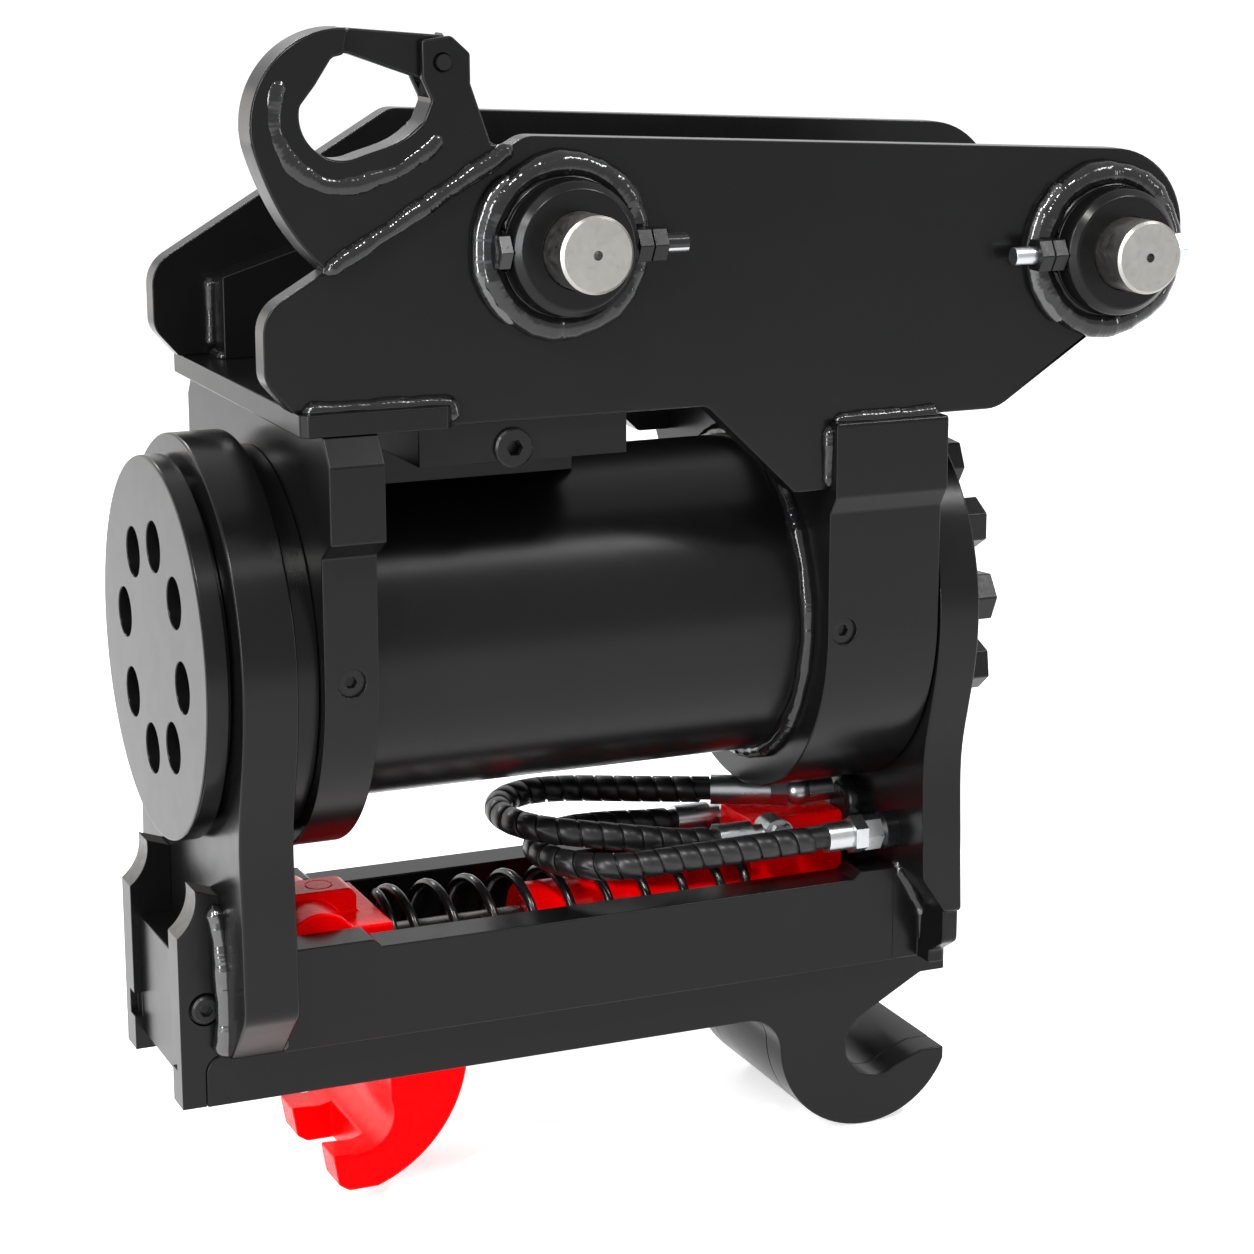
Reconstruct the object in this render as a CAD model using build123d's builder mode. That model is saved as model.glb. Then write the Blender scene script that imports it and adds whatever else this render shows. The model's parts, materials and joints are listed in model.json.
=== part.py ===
from build123d import *
import math
import os

# Tilting quick coupler for a small excavator. All sizes are in millimetres.
# The origin is the arm pin's axis at mid width. +X runs along the tilt axis, from the end disc
# towards the fixed jaw, +Y is the far side from the port block, and +Z is up.
# Stations (x) are counted from the end disc's face and heights (z) from the tilt axis.

# Pins of the machine and of the bucket
PIN_D = 40.0
PIN_PLAY = 0.04
ARM_PIN_X = 520.0
ARM_PIN_Z = 204.0
LINK_PIN_X = 194.0
LINK_PIN_Z = 221.0
PIN_REACH = 162.0
PIN_CHAMFER = 1.5
CENTRE_DRILL_D = 5.0
CENTRE_DRILL_DEPTH = 6.0

# Head: two cheeks on a base plate
CHEEK_OUT = 113.5
CHEEK_T = 15.0
CHEEK_SLOPE = 30.4
CHEEK_TOP_FALL = 3.04
CHEEK_NOSE_X = 33.0
CHEEK_NOSE_TOP_Z = 194.5
CHEEK_KNEE_X = 175.0
CHEEK_TAIL_X = 571.0
CHEEK_TAIL_FOOT_X = 455.0
CHEEK_TAIL_RISE = 75.0
CHEEK_BELLY_X = 277.0
CHEEK_TAB_X = 330.0
CHEEK_TAB_Z = 80.0
BASE_X = 49.0
BASE_L = 82.0
BASE_W = 244.0
BASE_T = 12.0
BASE_TOP_Z = 143.0
RIB_X = 67.0
RIB_L = 98.0
RIB_T = 23.0
RIB_FRONT_H = 46.0
RIB_BACK_H = 76.0

# Pin bosses
BOSS_R = 35.0
BOSS_STAND = 24.5
BOSS_FOOT_R = 45.0
BOSS_FOOT_H = 9.0
BOSS_CHAMFER = 4.0
BOSS_IN = 75.0

# Retaining bolts through the near bosses
KEEP_D = 10.0
KEEP_PLAY = 0.3
KEEP_Y = 126.0
KEEP_NUT_AF = 17.0
KEEP_NUT_H = 8.0
KEEP_HEAD_H = 6.5
KEEP_TAIL = 14.0

# Rotary actuator: housing on the head
HOUSING_R = 92.0
HOUSING_WALL = 16.0
BORE_R = HOUSING_R - HOUSING_WALL
FLANGE_R = 115.0
LEFT_FLANGE_X = 60.0
LEFT_FLANGE_T = 30.0
LEFT_BLOCK_HALF = 131.0
LEFT_BLOCK_BEVEL = 10.0
RIGHT_FLANGE_X = 351.0
RIGHT_FLANGE_T = 69.0
RIGHT_BLOCK_HALF = 122.0
RIGHT_BLOCK_TOP_Z = 118.0
BLOCK_FOOT_Z = 77.0
BLOCK_STEP_Z = 67.0
THRUST_RING_R = 107.0
RUN_GAP = 0.3
BUSH_R = 51.0
SHAFT_R = 45.0
SHAFT_PLAY = 0.05
GREASE_PLUG_D = 15.0
GREASE_PLUG_DEPTH = 5.0

# Port block on top of the housing
PORT_BLOCK_X = 116.0
PORT_BLOCK_L = 117.0
PORT_BLOCK_NEAR = 108.0
PORT_BLOCK_FAR = 30.0
PORT_BLOCK_H = 22.0
PORT_FOOT_HALF = 32.0
PORT_PLUG_X = 168.0
PORT_PLUG_R = 10.5
PORT_PLUG_STAND = 3.0
PORT_THREAD_R = 6.5
PORT_THREAD_DEPTH = 16.0

# Rotary actuator: shaft and what it turns
DISC_R = 105.0
DISC_T = 12.0
DISC_STEP_R = 96.0
DISC_STEP = 4.0
HUB_R = 75.0
HUB_L = 28.0
DISC_HOLES = 8
DISC_RING_R = 58.5
DISC_HOLE_D = 28.0
DISC_HOLE_DEPTH = 28.0
DISC_HOLE_START = 8.0
SCREW_D = 16.0
SCREW_HEAD_D = 24.0
SCREW_PLAY = 0.5
SHAFT_FLANGE_R = 85.0
DRIVE_HUB_R = 104.0
DRIVE_HUB_T = 25.0
LEG_BOLTS = 14
LEG_RING_R = 93.5
LEG_BOLT_AF = 26.0
LEG_BOLT_HEAD_H = 16.0
LEG_BOLT_START = 21.3
RING_GEAR_X = 235.0
RING_GEAR_L = 40.0
SLEEVE_R = 61.0
PISTON_X = 155.0
PISTON_L = 25.0
PISTON_TRAVEL = 45.0
SLEEVE_END_X = 300.0
WEAR_RING_W = 14.0
WEAR_RING_T = 5.0

# Legs of the tilting frame
LEG_R = 116.0
LEFT_LEG_T = 30.0
RIGHT_LEG_T = 25.0
LEG_WAIST = 100.5
LEG_WAIST_Z = -84.0
LEG_SHIN = 102.0
LEG_SHIN_Z = -142.0
LEFT_FOOT = 103.0
LEFT_FOOT_Z = -182.0
RIGHT_KNEE = 104.0
RIGHT_KNEE_Z = -178.0
RIGHT_FOOT = 100.0
RIGHT_FOOT_Z = -197.0
RIGHT_TOE = 84.0
RIGHT_TOE_Z = -207.0
WELD_BEVEL_TOP_Z = -156.0
WELD_BEVEL_DEPTH = 15.0

# Rails, hook plates and front forks of the tilting frame
RAIL_OUT = 70.0
RAIL_IN = 46.0
RAIL_TOP_Z = -157.5
RAIL_FOOT_Z = -215.0
RAIL_DIP = 4.5
RAIL_DIP_START = 53.0
RAIL_DIP_END = 23.0
PLATE_OUT = 60.0
PLATE_IN = 40.0
PLATE_FOOT_Z = -244.0
PLATE_X = 5.5
PLATE_END_X = 460.0
PLATE_HEEL_X = 330.0
FORK_FRONT_X = -8.0
FORK_OUT = 58.5
FORK_TIP_BACK = 10.5
FORK_TIP_Z = -120.5
FORK_CHIN_Z = -146.0
FORK_HOLLOW = 3.4
FORK_BACK_Z = -125.0
FORK_NOTCH_Z = -217.0
FORK_NOTCH_H = 14.0
FORK_NOTCH_W = 9.0
FORK_SCREW_X = 6.5
FORK_SCREW_Z = -188.0
FORK_SCREW_R = 8.2
FORK_SCREW_SINK = 2.0
FORK_SCREW_STAND = 2.5
FORK_SPACER_BACK = 5.0
FORK_SPACER_TOP_Z = -164.0
FORK_SPACER_FOOT_Z = -234.0

# Jaws for the bucket pins
JAW_R = 21.0
JAW_Z = -269.0
FIXED_JAW_X = 416.0
JAW_BODY_R = 57.0
JAW_BODY_X = 409.0
JAW_BODY_Z = -263.0
JAW_TIP_X = 461.0
JAW_TIP_Z = -279.0
JAW_LIP = 15.0
JAW_LIP_TURN = 117.0
JAW_MOUTH_X = 444.0
JAW_MOUTH_Z = -229.5
MOVING_JAW_X = 94.0
HOOK_TRAVEL = 88.0

# Moving hook
HOOK_X = 62.0
HOOK_BLOCK_L = 59.0
HOOK_BLOCK_TOP_Z = -160.0
HOOK_HUMP_X = 78.0
HOOK_HUMP_Z = -149.6
HOOK_HUMP_HALF = 19.0
HOOK_LUG_L = 46.5
HOOK_LUG_HALF = 13.0
HOOK_TOP_Z = -146.0
HOOK_SHELF_Z = -223.0
HOOK_PRONG_OUT = 51.0
HOOK_PRONG_IN = 26.0
HOOK_BACK_R = 80.0
HOOK_BACK_X = 80.0
HOOK_BACK_Z = -235.0
HOOK_FOOT_Z = -311.0
HOOK_TIP_X = 79.0
HOOK_WEB_X = 103.0
HOOK_PLAY = 2.0
ROD_PIN_X = 90.0
ROD_PIN_D = 14.0

# Locking cylinder
CYL_Z = -186.0
BARREL_R = 24.0
BARREL_X = 212.0
BARREL_BORE_R = 17.0
CYL_BLOCK_X = 350.0
CYL_BLOCK_L = 60.0
CYL_BLOCK_HALF = 22.0
CYL_BLOCK_TOP_Z = -135.0
ROD_R = 11.0
PISTON_R = 16.95
CYL_PISTON_L = 18.0
GLAND_L = 16.0
SPRING_R = 33.5
SPRING_WIRE_R = 2.8
SPRING_COILS = 11.5

# Hoses and their ends
HOSE_D = 15.4
FERRULE_R = 9.0
FERRULE_L = 36.0
HEX_L = 10.0
BANJO_X = 360.0
BANJO_R = 9.5
BANJO_W = 16.0
BANJO_STEM = 6.0
BANJO_BOLT_R = 4.0
NEAR_BANJO_Z = -140.0
FAR_BANJO_Z = -145.0
DOME_R = 16.0
DOME_L = 11.0
DOME_Y = -15.0
DOME_Z = -132.0
BULKHEAD_R = 11.0
UNION_Y = 63.0
UNION_Z = -136.5
UNION_HOSE_X = 377.0

# Lifting hook on the near cheek
LIFT_Y = 106.0
LIFT_T = 22.0
LATCH_T = 12.0
LATCH_STATION = 157.45
LATCH_RISE = 56.2
LATCH_EYE_R = 13.0
LATCH_PIN_R = 4.0
LATCH_REACH = 53.5
LATCH_PLAY = 0.3
LIFT_EYE_R = 22.5
LIFT_EYE_DROP = 24.5
LIFT_BACK_R = 48.0
LIFT_BACK_DROP = 30.0
LIFT_NECK_X = 66.0
LIFT_TAIL_X = 165.0

# Worked out from the sizes above
SLOPE = math.tan(math.radians(CHEEK_SLOPE))
FALL = math.tan(math.radians(CHEEK_TOP_FALL))
CHEEK_IN = CHEEK_OUT - CHEEK_T
KNEE_Z = CHEEK_NOSE_TOP_Z + (CHEEK_KNEE_X - CHEEK_NOSE_X) * SLOPE
TAIL_TOP_Z = KNEE_Z - (CHEEK_TAIL_X - CHEEK_KNEE_X) * FALL
BASE_FOOT_Z = BASE_TOP_Z - BASE_T
LEFT_LEG_X = DISC_T + DISC_STEP
LEFT_LEG_END = LEFT_LEG_X + LEFT_LEG_T
LEFT_FLANGE_END = LEFT_FLANGE_X + LEFT_FLANGE_T
RIGHT_FLANGE_END = RIGHT_FLANGE_X + RIGHT_FLANGE_T
RIGHT_LEG_X = RIGHT_FLANGE_END + 1.0
RIGHT_LEG_END = RIGHT_LEG_X + RIGHT_LEG_T
DRIVE_HUB_X = RIGHT_LEG_X - DRIVE_HUB_T
PIN_BORE_R = PIN_D / 2 + PIN_PLAY
HOOK_BLOCK_END = HOOK_X + HOOK_BLOCK_L
SPRING_L = CYL_BLOCK_X - HOOK_BLOCK_END
FORK_TIP_X = FORK_FRONT_X + FORK_TIP_BACK


def side(y):
    """Upright plane along the tilt axis; its extrusions grow towards the near side."""
    return Plane(origin=(-ARM_PIN_X, y, -ARM_PIN_Z), x_dir=(1, 0, 0), z_dir=(0, -1, 0))


def station(x):
    """Plane square to the tilt axis; its extrusions grow towards the fixed jaw."""
    return Plane(origin=(x - ARM_PIN_X, 0, -ARM_PIN_Z), x_dir=(0, 1, 0), z_dir=(1, 0, 0))


def level(z):
    """Level plane at a height above the tilt axis."""
    return Plane(origin=(-ARM_PIN_X, 0, z - ARM_PIN_Z), x_dir=(1, 0, 0), z_dir=(0, 0, 1))


def outline(points, radii):
    """Closed outline with a rounding at each corner; a radius of 0 keeps it sharp."""
    FilletPolyline(*points, radius=radii, close=True)


def on_slope(x, rise):
    """Point above the cheek's sloping edge, at a station and a height square to it."""
    slope_angle = math.radians(CHEEK_SLOPE)
    foot_z = CHEEK_NOSE_TOP_Z + (x - CHEEK_NOSE_X) * SLOPE
    return (x - rise * math.sin(slope_angle), foot_z + rise * math.cos(slope_angle))


nodes = []


def keep(part, label):
    """Name a finished piece and put it on the list that is written at the end."""
    part.label = label
    nodes.append(part)


# Cheeks: near one first, and the far one is its mirror image
cheek_points = [
    (BASE_X - 2, BASE_TOP_Z),
    (CHEEK_NOSE_X, BASE_TOP_Z + 16),
    (CHEEK_NOSE_X, CHEEK_NOSE_TOP_Z),
    (CHEEK_KNEE_X, KNEE_Z),
    (CHEEK_TAIL_X, TAIL_TOP_Z),
    (CHEEK_TAIL_X, RIGHT_BLOCK_TOP_Z + CHEEK_TAIL_RISE),
    (CHEEK_TAIL_FOOT_X, RIGHT_BLOCK_TOP_Z),
    (RIGHT_FLANGE_X, RIGHT_BLOCK_TOP_Z),
    (RIGHT_FLANGE_X, CHEEK_TAB_Z),
    (CHEEK_TAB_X, CHEEK_TAB_Z),
    (CHEEK_BELLY_X, BASE_FOOT_Z),
    (BASE_X + BASE_L, BASE_FOOT_Z),
    (BASE_X + BASE_L, BASE_TOP_Z),
]
cheek_radii = [0, 14, 20, 16, 46, 20, 22, 0, 0, 4, 8, 0, 0]
with BuildPart() as cheek_near:
    with BuildSketch(side(-CHEEK_IN)):
        with BuildLine():
            outline(cheek_points, cheek_radii)
        make_face()
        with Locations((ARM_PIN_X, ARM_PIN_Z), (LINK_PIN_X, LINK_PIN_Z)):
            Circle(BOSS_R, mode=Mode.SUBTRACT)
    extrude(amount=CHEEK_T)
    chamfer(cheek_near.edges().group_by(Axis.Y)[0], length=0.8)
keep(cheek_near.part, "cheek_near")

with BuildPart() as cheek_far:
    mirror(cheek_near.part, about=Plane.XZ)
keep(cheek_far.part, "cheek_far")

# Base plate that the cheeks stand on at the disc's end
with BuildPart() as base_plate:
    with BuildSketch(level(BASE_FOOT_Z)):
        with Locations((BASE_X + BASE_L / 2, 0)):
            Rectangle(BASE_L, BASE_W)
    extrude(amount=BASE_T)
    chamfer(base_plate.edges().filter_by(Axis.Z), length=4)
keep(base_plate.part, "base_plate")

# Ribs inside the cheeks, between the base plate and the link pin's bosses
with BuildPart() as inner_ribs:
    with BuildSketch(side(-CHEEK_IN + RIB_T)):
        with BuildLine():
            Polyline(
                (RIB_X, BASE_TOP_Z),
                (RIB_X, BASE_TOP_Z + RIB_FRONT_H),
                (RIB_X + RIB_L, BASE_TOP_Z + RIB_BACK_H),
                (RIB_X + RIB_L, BASE_TOP_Z + RIB_T),
                (BASE_X + BASE_L, BASE_TOP_Z),
                close=True,
            )
        make_face()
        with Locations((LINK_PIN_X, LINK_PIN_Z)):
            Circle(BOSS_R, mode=Mode.SUBTRACT)
    extrude(amount=RIB_T)
    mirror(about=Plane.XZ)
keep(inner_ribs.part, "inner_ribs")


def pin_bosses(pin_x, pin_z):
    """Two bored bosses through the cheeks, each with its welded foot, on one pin's axis."""
    with BuildPart() as bosses:
        with BuildSketch(side(-BOSS_IN)):
            with Locations((pin_x, pin_z)):
                Circle(BOSS_R)
        extrude(amount=CHEEK_OUT + BOSS_STAND - BOSS_IN)
        chamfer(bosses.edges().group_by(Axis.Y)[0], length=BOSS_CHAMFER)
        with BuildSketch(side(-CHEEK_OUT)) as foot:
            with Locations((pin_x, pin_z)):
                Circle(BOSS_FOOT_R)
        extrude(amount=BOSS_FOOT_H, taper=45)
        with BuildSketch(side(-BOSS_IN)):
            with Locations((pin_x, pin_z)):
                Circle(PIN_BORE_R)
        extrude(amount=CHEEK_OUT + BOSS_STAND - BOSS_IN, mode=Mode.SUBTRACT)
        mirror(about=Plane.XZ)
        with BuildSketch(station(pin_x - BOSS_R * 2)):
            with Locations((-KEEP_Y, pin_z)):
                Circle(KEEP_D / 2 + KEEP_PLAY)
        extrude(amount=BOSS_R * 4, mode=Mode.SUBTRACT)
        with BuildSketch(station(pin_x + BOSS_R)):
            with Locations((-KEEP_Y, pin_z)):
                Circle(KEEP_NUT_AF * 0.62)
        extrude(amount=BOSS_R, mode=Mode.SUBTRACT)
        with BuildSketch(station(pin_x - BOSS_R)):
            with Locations((-KEEP_Y, pin_z)):
                Circle(KEEP_NUT_AF * 0.62)
        extrude(amount=-BOSS_R, mode=Mode.SUBTRACT)
    return bosses.part


keep(pin_bosses(LINK_PIN_X, LINK_PIN_Z), "link_pin_bosses")
keep(pin_bosses(ARM_PIN_X, ARM_PIN_Z), "arm_pin_bosses")


def machine_pin(pin_x, pin_z):
    """Plain pin with chamfered ends, centre drillings and the cross hole for its bolt."""
    with BuildPart() as pin:
        with BuildSketch(side(PIN_REACH)):
            with Locations((pin_x, pin_z)):
                Circle(PIN_D / 2)
        extrude(amount=2 * PIN_REACH)
        chamfer(pin.edges().filter_by(GeomType.CIRCLE), length=PIN_CHAMFER)
        with BuildSketch(side(CENTRE_DRILL_DEPTH - PIN_REACH)):
            with Locations((pin_x, pin_z)):
                Circle(CENTRE_DRILL_D / 2)
        extrude(amount=CENTRE_DRILL_DEPTH, mode=Mode.SUBTRACT)
        with BuildSketch(side(PIN_REACH)):
            with Locations((pin_x, pin_z)):
                Circle(CENTRE_DRILL_D / 2)
        extrude(amount=CENTRE_DRILL_DEPTH, mode=Mode.SUBTRACT)
        with BuildSketch(station(pin_x - PIN_D)):
            with Locations((-KEEP_Y, pin_z)):
                Circle(KEEP_D / 2 + KEEP_PLAY)
        extrude(amount=2 * PIN_D, mode=Mode.SUBTRACT)
    return pin.part


keep(machine_pin(LINK_PIN_X, LINK_PIN_Z), "link_pin")
keep(machine_pin(ARM_PIN_X, ARM_PIN_Z), "arm_pin")

# Retaining bolts and nuts: one through each near boss, with the nuts on the inner side
keep_tail = 2 * KEEP_NUT_H + KEEP_TAIL
with BuildPart() as retaining_bolts:
    with BuildSketch(station(LINK_PIN_X - BOSS_R)):
        with Locations((-KEEP_Y, LINK_PIN_Z)):
            Circle(KEEP_D / 2)
    extrude(amount=2 * BOSS_R + keep_tail)
    with BuildSketch(station(LINK_PIN_X - BOSS_R - KEEP_HEAD_H)):
        with Locations((-KEEP_Y, LINK_PIN_Z)):
            RegularPolygon(KEEP_NUT_AF / 2, 6, major_radius=False)
    extrude(amount=KEEP_HEAD_H)
    with BuildSketch(station(ARM_PIN_X - BOSS_R - keep_tail)):
        with Locations((-KEEP_Y, ARM_PIN_Z)):
            Circle(KEEP_D / 2)
    extrude(amount=2 * BOSS_R + keep_tail)
    with BuildSketch(station(ARM_PIN_X + BOSS_R)):
        with Locations((-KEEP_Y, ARM_PIN_Z)):
            RegularPolygon(KEEP_NUT_AF / 2, 6, major_radius=False)
    extrude(amount=KEEP_HEAD_H)
keep(retaining_bolts.part, "retaining_bolts")

nut_gap = 0.6
with BuildPart() as retaining_nuts:
    for nut in range(2):
        with BuildSketch(station(LINK_PIN_X + BOSS_R + nut * (KEEP_NUT_H + nut_gap))):
            with Locations((-KEEP_Y, LINK_PIN_Z)):
                RegularPolygon(KEEP_NUT_AF / 2, 6, major_radius=False)
                Circle(KEEP_D / 2, mode=Mode.SUBTRACT)
        extrude(amount=KEEP_NUT_H)
        arm_nut_x = ARM_PIN_X - BOSS_R - KEEP_NUT_H - nut * (KEEP_NUT_H + nut_gap)
        with BuildSketch(station(arm_nut_x)):
            with Locations((-KEEP_Y, ARM_PIN_Z)):
                RegularPolygon(KEEP_NUT_AF / 2, 6, major_radius=False)
                Circle(KEEP_D / 2, mode=Mode.SUBTRACT)
        extrude(amount=KEEP_NUT_H)
keep(retaining_nuts.part, "retaining_nuts")

# Housing tube of the rotary actuator
with BuildPart() as housing_tube:
    with BuildSketch(station(LEFT_FLANGE_END)):
        Circle(HOUSING_R)
        Circle(BORE_R, mode=Mode.SUBTRACT)
    extrude(amount=RIGHT_FLANGE_X - LEFT_FLANGE_END)
keep(housing_tube.part, "housing_tube")


def flange_outline(block_half, block_top_z, bevel):
    """Half of a flange: a wide block on top, upright sides, and a round foot below."""
    with BuildLine() as border:
        Polyline(
            (0, block_top_z),
            (block_half - bevel, block_top_z),
            (block_half, block_top_z - bevel * 1.4),
            (block_half, BLOCK_FOOT_Z),
            (FLANGE_R, BLOCK_STEP_Z),
            (FLANGE_R, 0),
        )
        RadiusArc((FLANGE_R, 0), (0, -FLANGE_R), FLANGE_R)
        Line((0, -FLANGE_R), (0, block_top_z))
    make_face(border.edges())
    mirror(about=Plane.YZ)


with BuildPart() as left_flange:
    with BuildSketch(station(LEFT_FLANGE_X)):
        flange_outline(LEFT_BLOCK_HALF, BASE_FOOT_Z, LEFT_BLOCK_BEVEL)
        Circle(BUSH_R, mode=Mode.SUBTRACT)
    extrude(amount=LEFT_FLANGE_T)
    with BuildSketch(side(-FLANGE_R)):
        with Locations((LEFT_FLANGE_X + LEFT_FLANGE_T / 2, 0)):
            Circle(GREASE_PLUG_D / 2)
    extrude(amount=-GREASE_PLUG_DEPTH, mode=Mode.SUBTRACT)
keep(left_flange.part, "left_flange")

with BuildPart() as right_flange:
    with BuildSketch(station(RIGHT_FLANGE_X)):
        flange_outline(RIGHT_BLOCK_HALF, RIGHT_BLOCK_TOP_Z, 1)
        Circle(BUSH_R, mode=Mode.SUBTRACT)
    extrude(amount=RIGHT_FLANGE_T)
    with BuildSketch(station(DRIVE_HUB_X - RUN_GAP)):
        Circle(DRIVE_HUB_R + 2 * RUN_GAP)
    extrude(amount=DRIVE_HUB_T + 1, mode=Mode.SUBTRACT)
    with BuildSketch(side(-FLANGE_R)):
        with Locations((RIGHT_FLANGE_X + LEFT_FLANGE_T / 3, 0)):
            Circle(GREASE_PLUG_D / 2)
    extrude(amount=-GREASE_PLUG_DEPTH, mode=Mode.SUBTRACT)
keep(right_flange.part, "right_flange")

# Thrust ring between the left leg and the left flange
with BuildPart() as thrust_ring:
    with BuildSketch(station(LEFT_LEG_END + RUN_GAP)):
        Circle(THRUST_RING_R)
        Circle(SHAFT_FLANGE_R + 2 * RUN_GAP, mode=Mode.SUBTRACT)
    extrude(amount=LEFT_FLANGE_X - LEFT_LEG_END - RUN_GAP)
keep(thrust_ring.part, "thrust_ring")

# Bearing bushes of the shaft, pressed into the flanges
with BuildPart() as shaft_bushes:
    with BuildSketch(station(LEFT_FLANGE_X)):
        Circle(BUSH_R)
        Circle(SHAFT_R + SHAFT_PLAY, mode=Mode.SUBTRACT)
    extrude(amount=LEFT_FLANGE_T)
    with BuildSketch(station(RIGHT_FLANGE_X)):
        Circle(BUSH_R)
        Circle(SHAFT_R + SHAFT_PLAY, mode=Mode.SUBTRACT)
    extrude(amount=DRIVE_HUB_X - RUN_GAP - RIGHT_FLANGE_X)
keep(shaft_bushes.part, "shaft_bushes")

# Ring gear fixed in the housing, which the piston's outer splines climb
with BuildPart() as ring_gear:
    with BuildSketch(station(RING_GEAR_X)):
        Circle(BORE_R)
        Circle(SLEEVE_R + SHAFT_PLAY, mode=Mode.SUBTRACT)
    extrude(amount=RING_GEAR_L)
keep(ring_gear.part, "ring_gear")

# Piston sleeve, which slides and turns between the ring gear and the shaft
with BuildPart() as piston_sleeve:
    with BuildSketch(station(PISTON_X)):
        Circle(BORE_R - SHAFT_PLAY)
        Circle(SHAFT_R + SHAFT_PLAY, mode=Mode.SUBTRACT)
    extrude(amount=PISTON_L)
    with BuildSketch(station(PISTON_X + PISTON_L)):
        Circle(SLEEVE_R)
        Circle(SHAFT_R + SHAFT_PLAY, mode=Mode.SUBTRACT)
    extrude(amount=SLEEVE_END_X - PISTON_X - PISTON_L)
    with BuildSketch(station(PISTON_X + (PISTON_L - WEAR_RING_W) / 2)):
        Circle(BORE_R)
        Circle(BORE_R - WEAR_RING_T - SHAFT_PLAY, mode=Mode.SUBTRACT)
    extrude(amount=WEAR_RING_W, mode=Mode.SUBTRACT)
keep(piston_sleeve.part, "piston_sleeve")

with BuildPart() as piston_wear_ring:
    with BuildSketch(station(PISTON_X + (PISTON_L - WEAR_RING_W) / 2 + RUN_GAP)):
        Circle(BORE_R - SHAFT_PLAY)
        Circle(BORE_R - WEAR_RING_T, mode=Mode.SUBTRACT)
    extrude(amount=WEAR_RING_W - 2 * RUN_GAP)
keep(piston_wear_ring.part, "piston_wear_ring")

# Port block on the housing, under the near cheek, with a socket plug in its face
port_top = BASE_FOOT_Z
port_foot = port_top - PORT_BLOCK_H
with BuildPart() as port_block:
    with BuildSketch(station(PORT_BLOCK_X)):
        with BuildLine():
            Polyline(
                (-PORT_BLOCK_NEAR, port_foot),
                (-PORT_BLOCK_NEAR, port_top),
                (PORT_BLOCK_FAR, port_top),
                (PORT_BLOCK_FAR, HOUSING_R / 2),
                (-PORT_FOOT_HALF, HOUSING_R / 2),
                (-PORT_FOOT_HALF, port_foot),
                close=True,
            )
        make_face()
        Circle(HOUSING_R, mode=Mode.SUBTRACT)
    extrude(amount=PORT_BLOCK_L)
    with BuildSketch(side(-PORT_BLOCK_NEAR)):
        with Locations((PORT_PLUG_X, port_foot + PORT_BLOCK_H / 3)):
            Circle(PORT_THREAD_R)
    extrude(amount=-PORT_THREAD_DEPTH, mode=Mode.SUBTRACT)
keep(port_block.part, "port_block")

with BuildPart() as port_plug:
    with BuildSketch(side(-PORT_BLOCK_NEAR)):
        with Locations((PORT_PLUG_X, port_foot + PORT_BLOCK_H / 3)):
            Circle(PORT_PLUG_R)
    extrude(amount=PORT_PLUG_STAND)
    chamfer(port_plug.edges().group_by(Axis.Y)[0], length=1)
    with BuildSketch(side(-PORT_BLOCK_NEAR)):
        with Locations((PORT_PLUG_X, port_foot + PORT_BLOCK_H / 3)):
            Circle(PORT_THREAD_R)
    extrude(amount=-PORT_THREAD_DEPTH + 2)
    with BuildSketch(side(-PORT_BLOCK_NEAR - PORT_PLUG_STAND)):
        with Locations((PORT_PLUG_X, port_foot + PORT_BLOCK_H / 3)):
            RegularPolygon(4, 6, major_radius=False)
    extrude(amount=-PORT_THREAD_R, mode=Mode.SUBTRACT)
keep(port_plug.part, "port_plug")

with BuildPart() as grease_plugs:
    for plug_x in (LEFT_FLANGE_X + LEFT_FLANGE_T / 2, RIGHT_FLANGE_X + LEFT_FLANGE_T / 3):
        with BuildSketch(side(GREASE_PLUG_DEPTH - FLANGE_R)):
            with Locations((plug_x, 0)):
                Circle(GREASE_PLUG_D / 2)
                RegularPolygon(3, 6, major_radius=False, mode=Mode.SUBTRACT)
        extrude(amount=GREASE_PLUG_DEPTH / 2)
keep(grease_plugs.part, "grease_plugs")

# End disc, clamped to the shaft by deep-set screws, with the left leg between them
disc_hole_start = 90 + DISC_HOLE_START
with BuildPart() as end_disc:
    with BuildSketch(station(0)):
        Circle(DISC_R)
    extrude(amount=DISC_T)
    chamfer(end_disc.edges().group_by(Axis.X)[0], length=1)
    with BuildSketch(station(DISC_T)):
        Circle(DISC_STEP_R)
    extrude(amount=DISC_STEP)
    with BuildSketch(station(LEFT_LEG_X)):
        Circle(HUB_R)
    extrude(amount=HUB_L)
    with BuildSketch(station(0)):
        with PolarLocations(DISC_RING_R, DISC_HOLES, disc_hole_start):
            Circle(DISC_HOLE_D / 2)
    extrude(amount=DISC_HOLE_DEPTH, mode=Mode.SUBTRACT)
    with BuildSketch(station(DISC_HOLE_DEPTH)):
        with PolarLocations(DISC_RING_R, DISC_HOLES, disc_hole_start):
            Circle(SCREW_D / 2 + SCREW_PLAY)
    extrude(amount=HUB_L, mode=Mode.SUBTRACT)
keep(end_disc.part, "end_disc")

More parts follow.
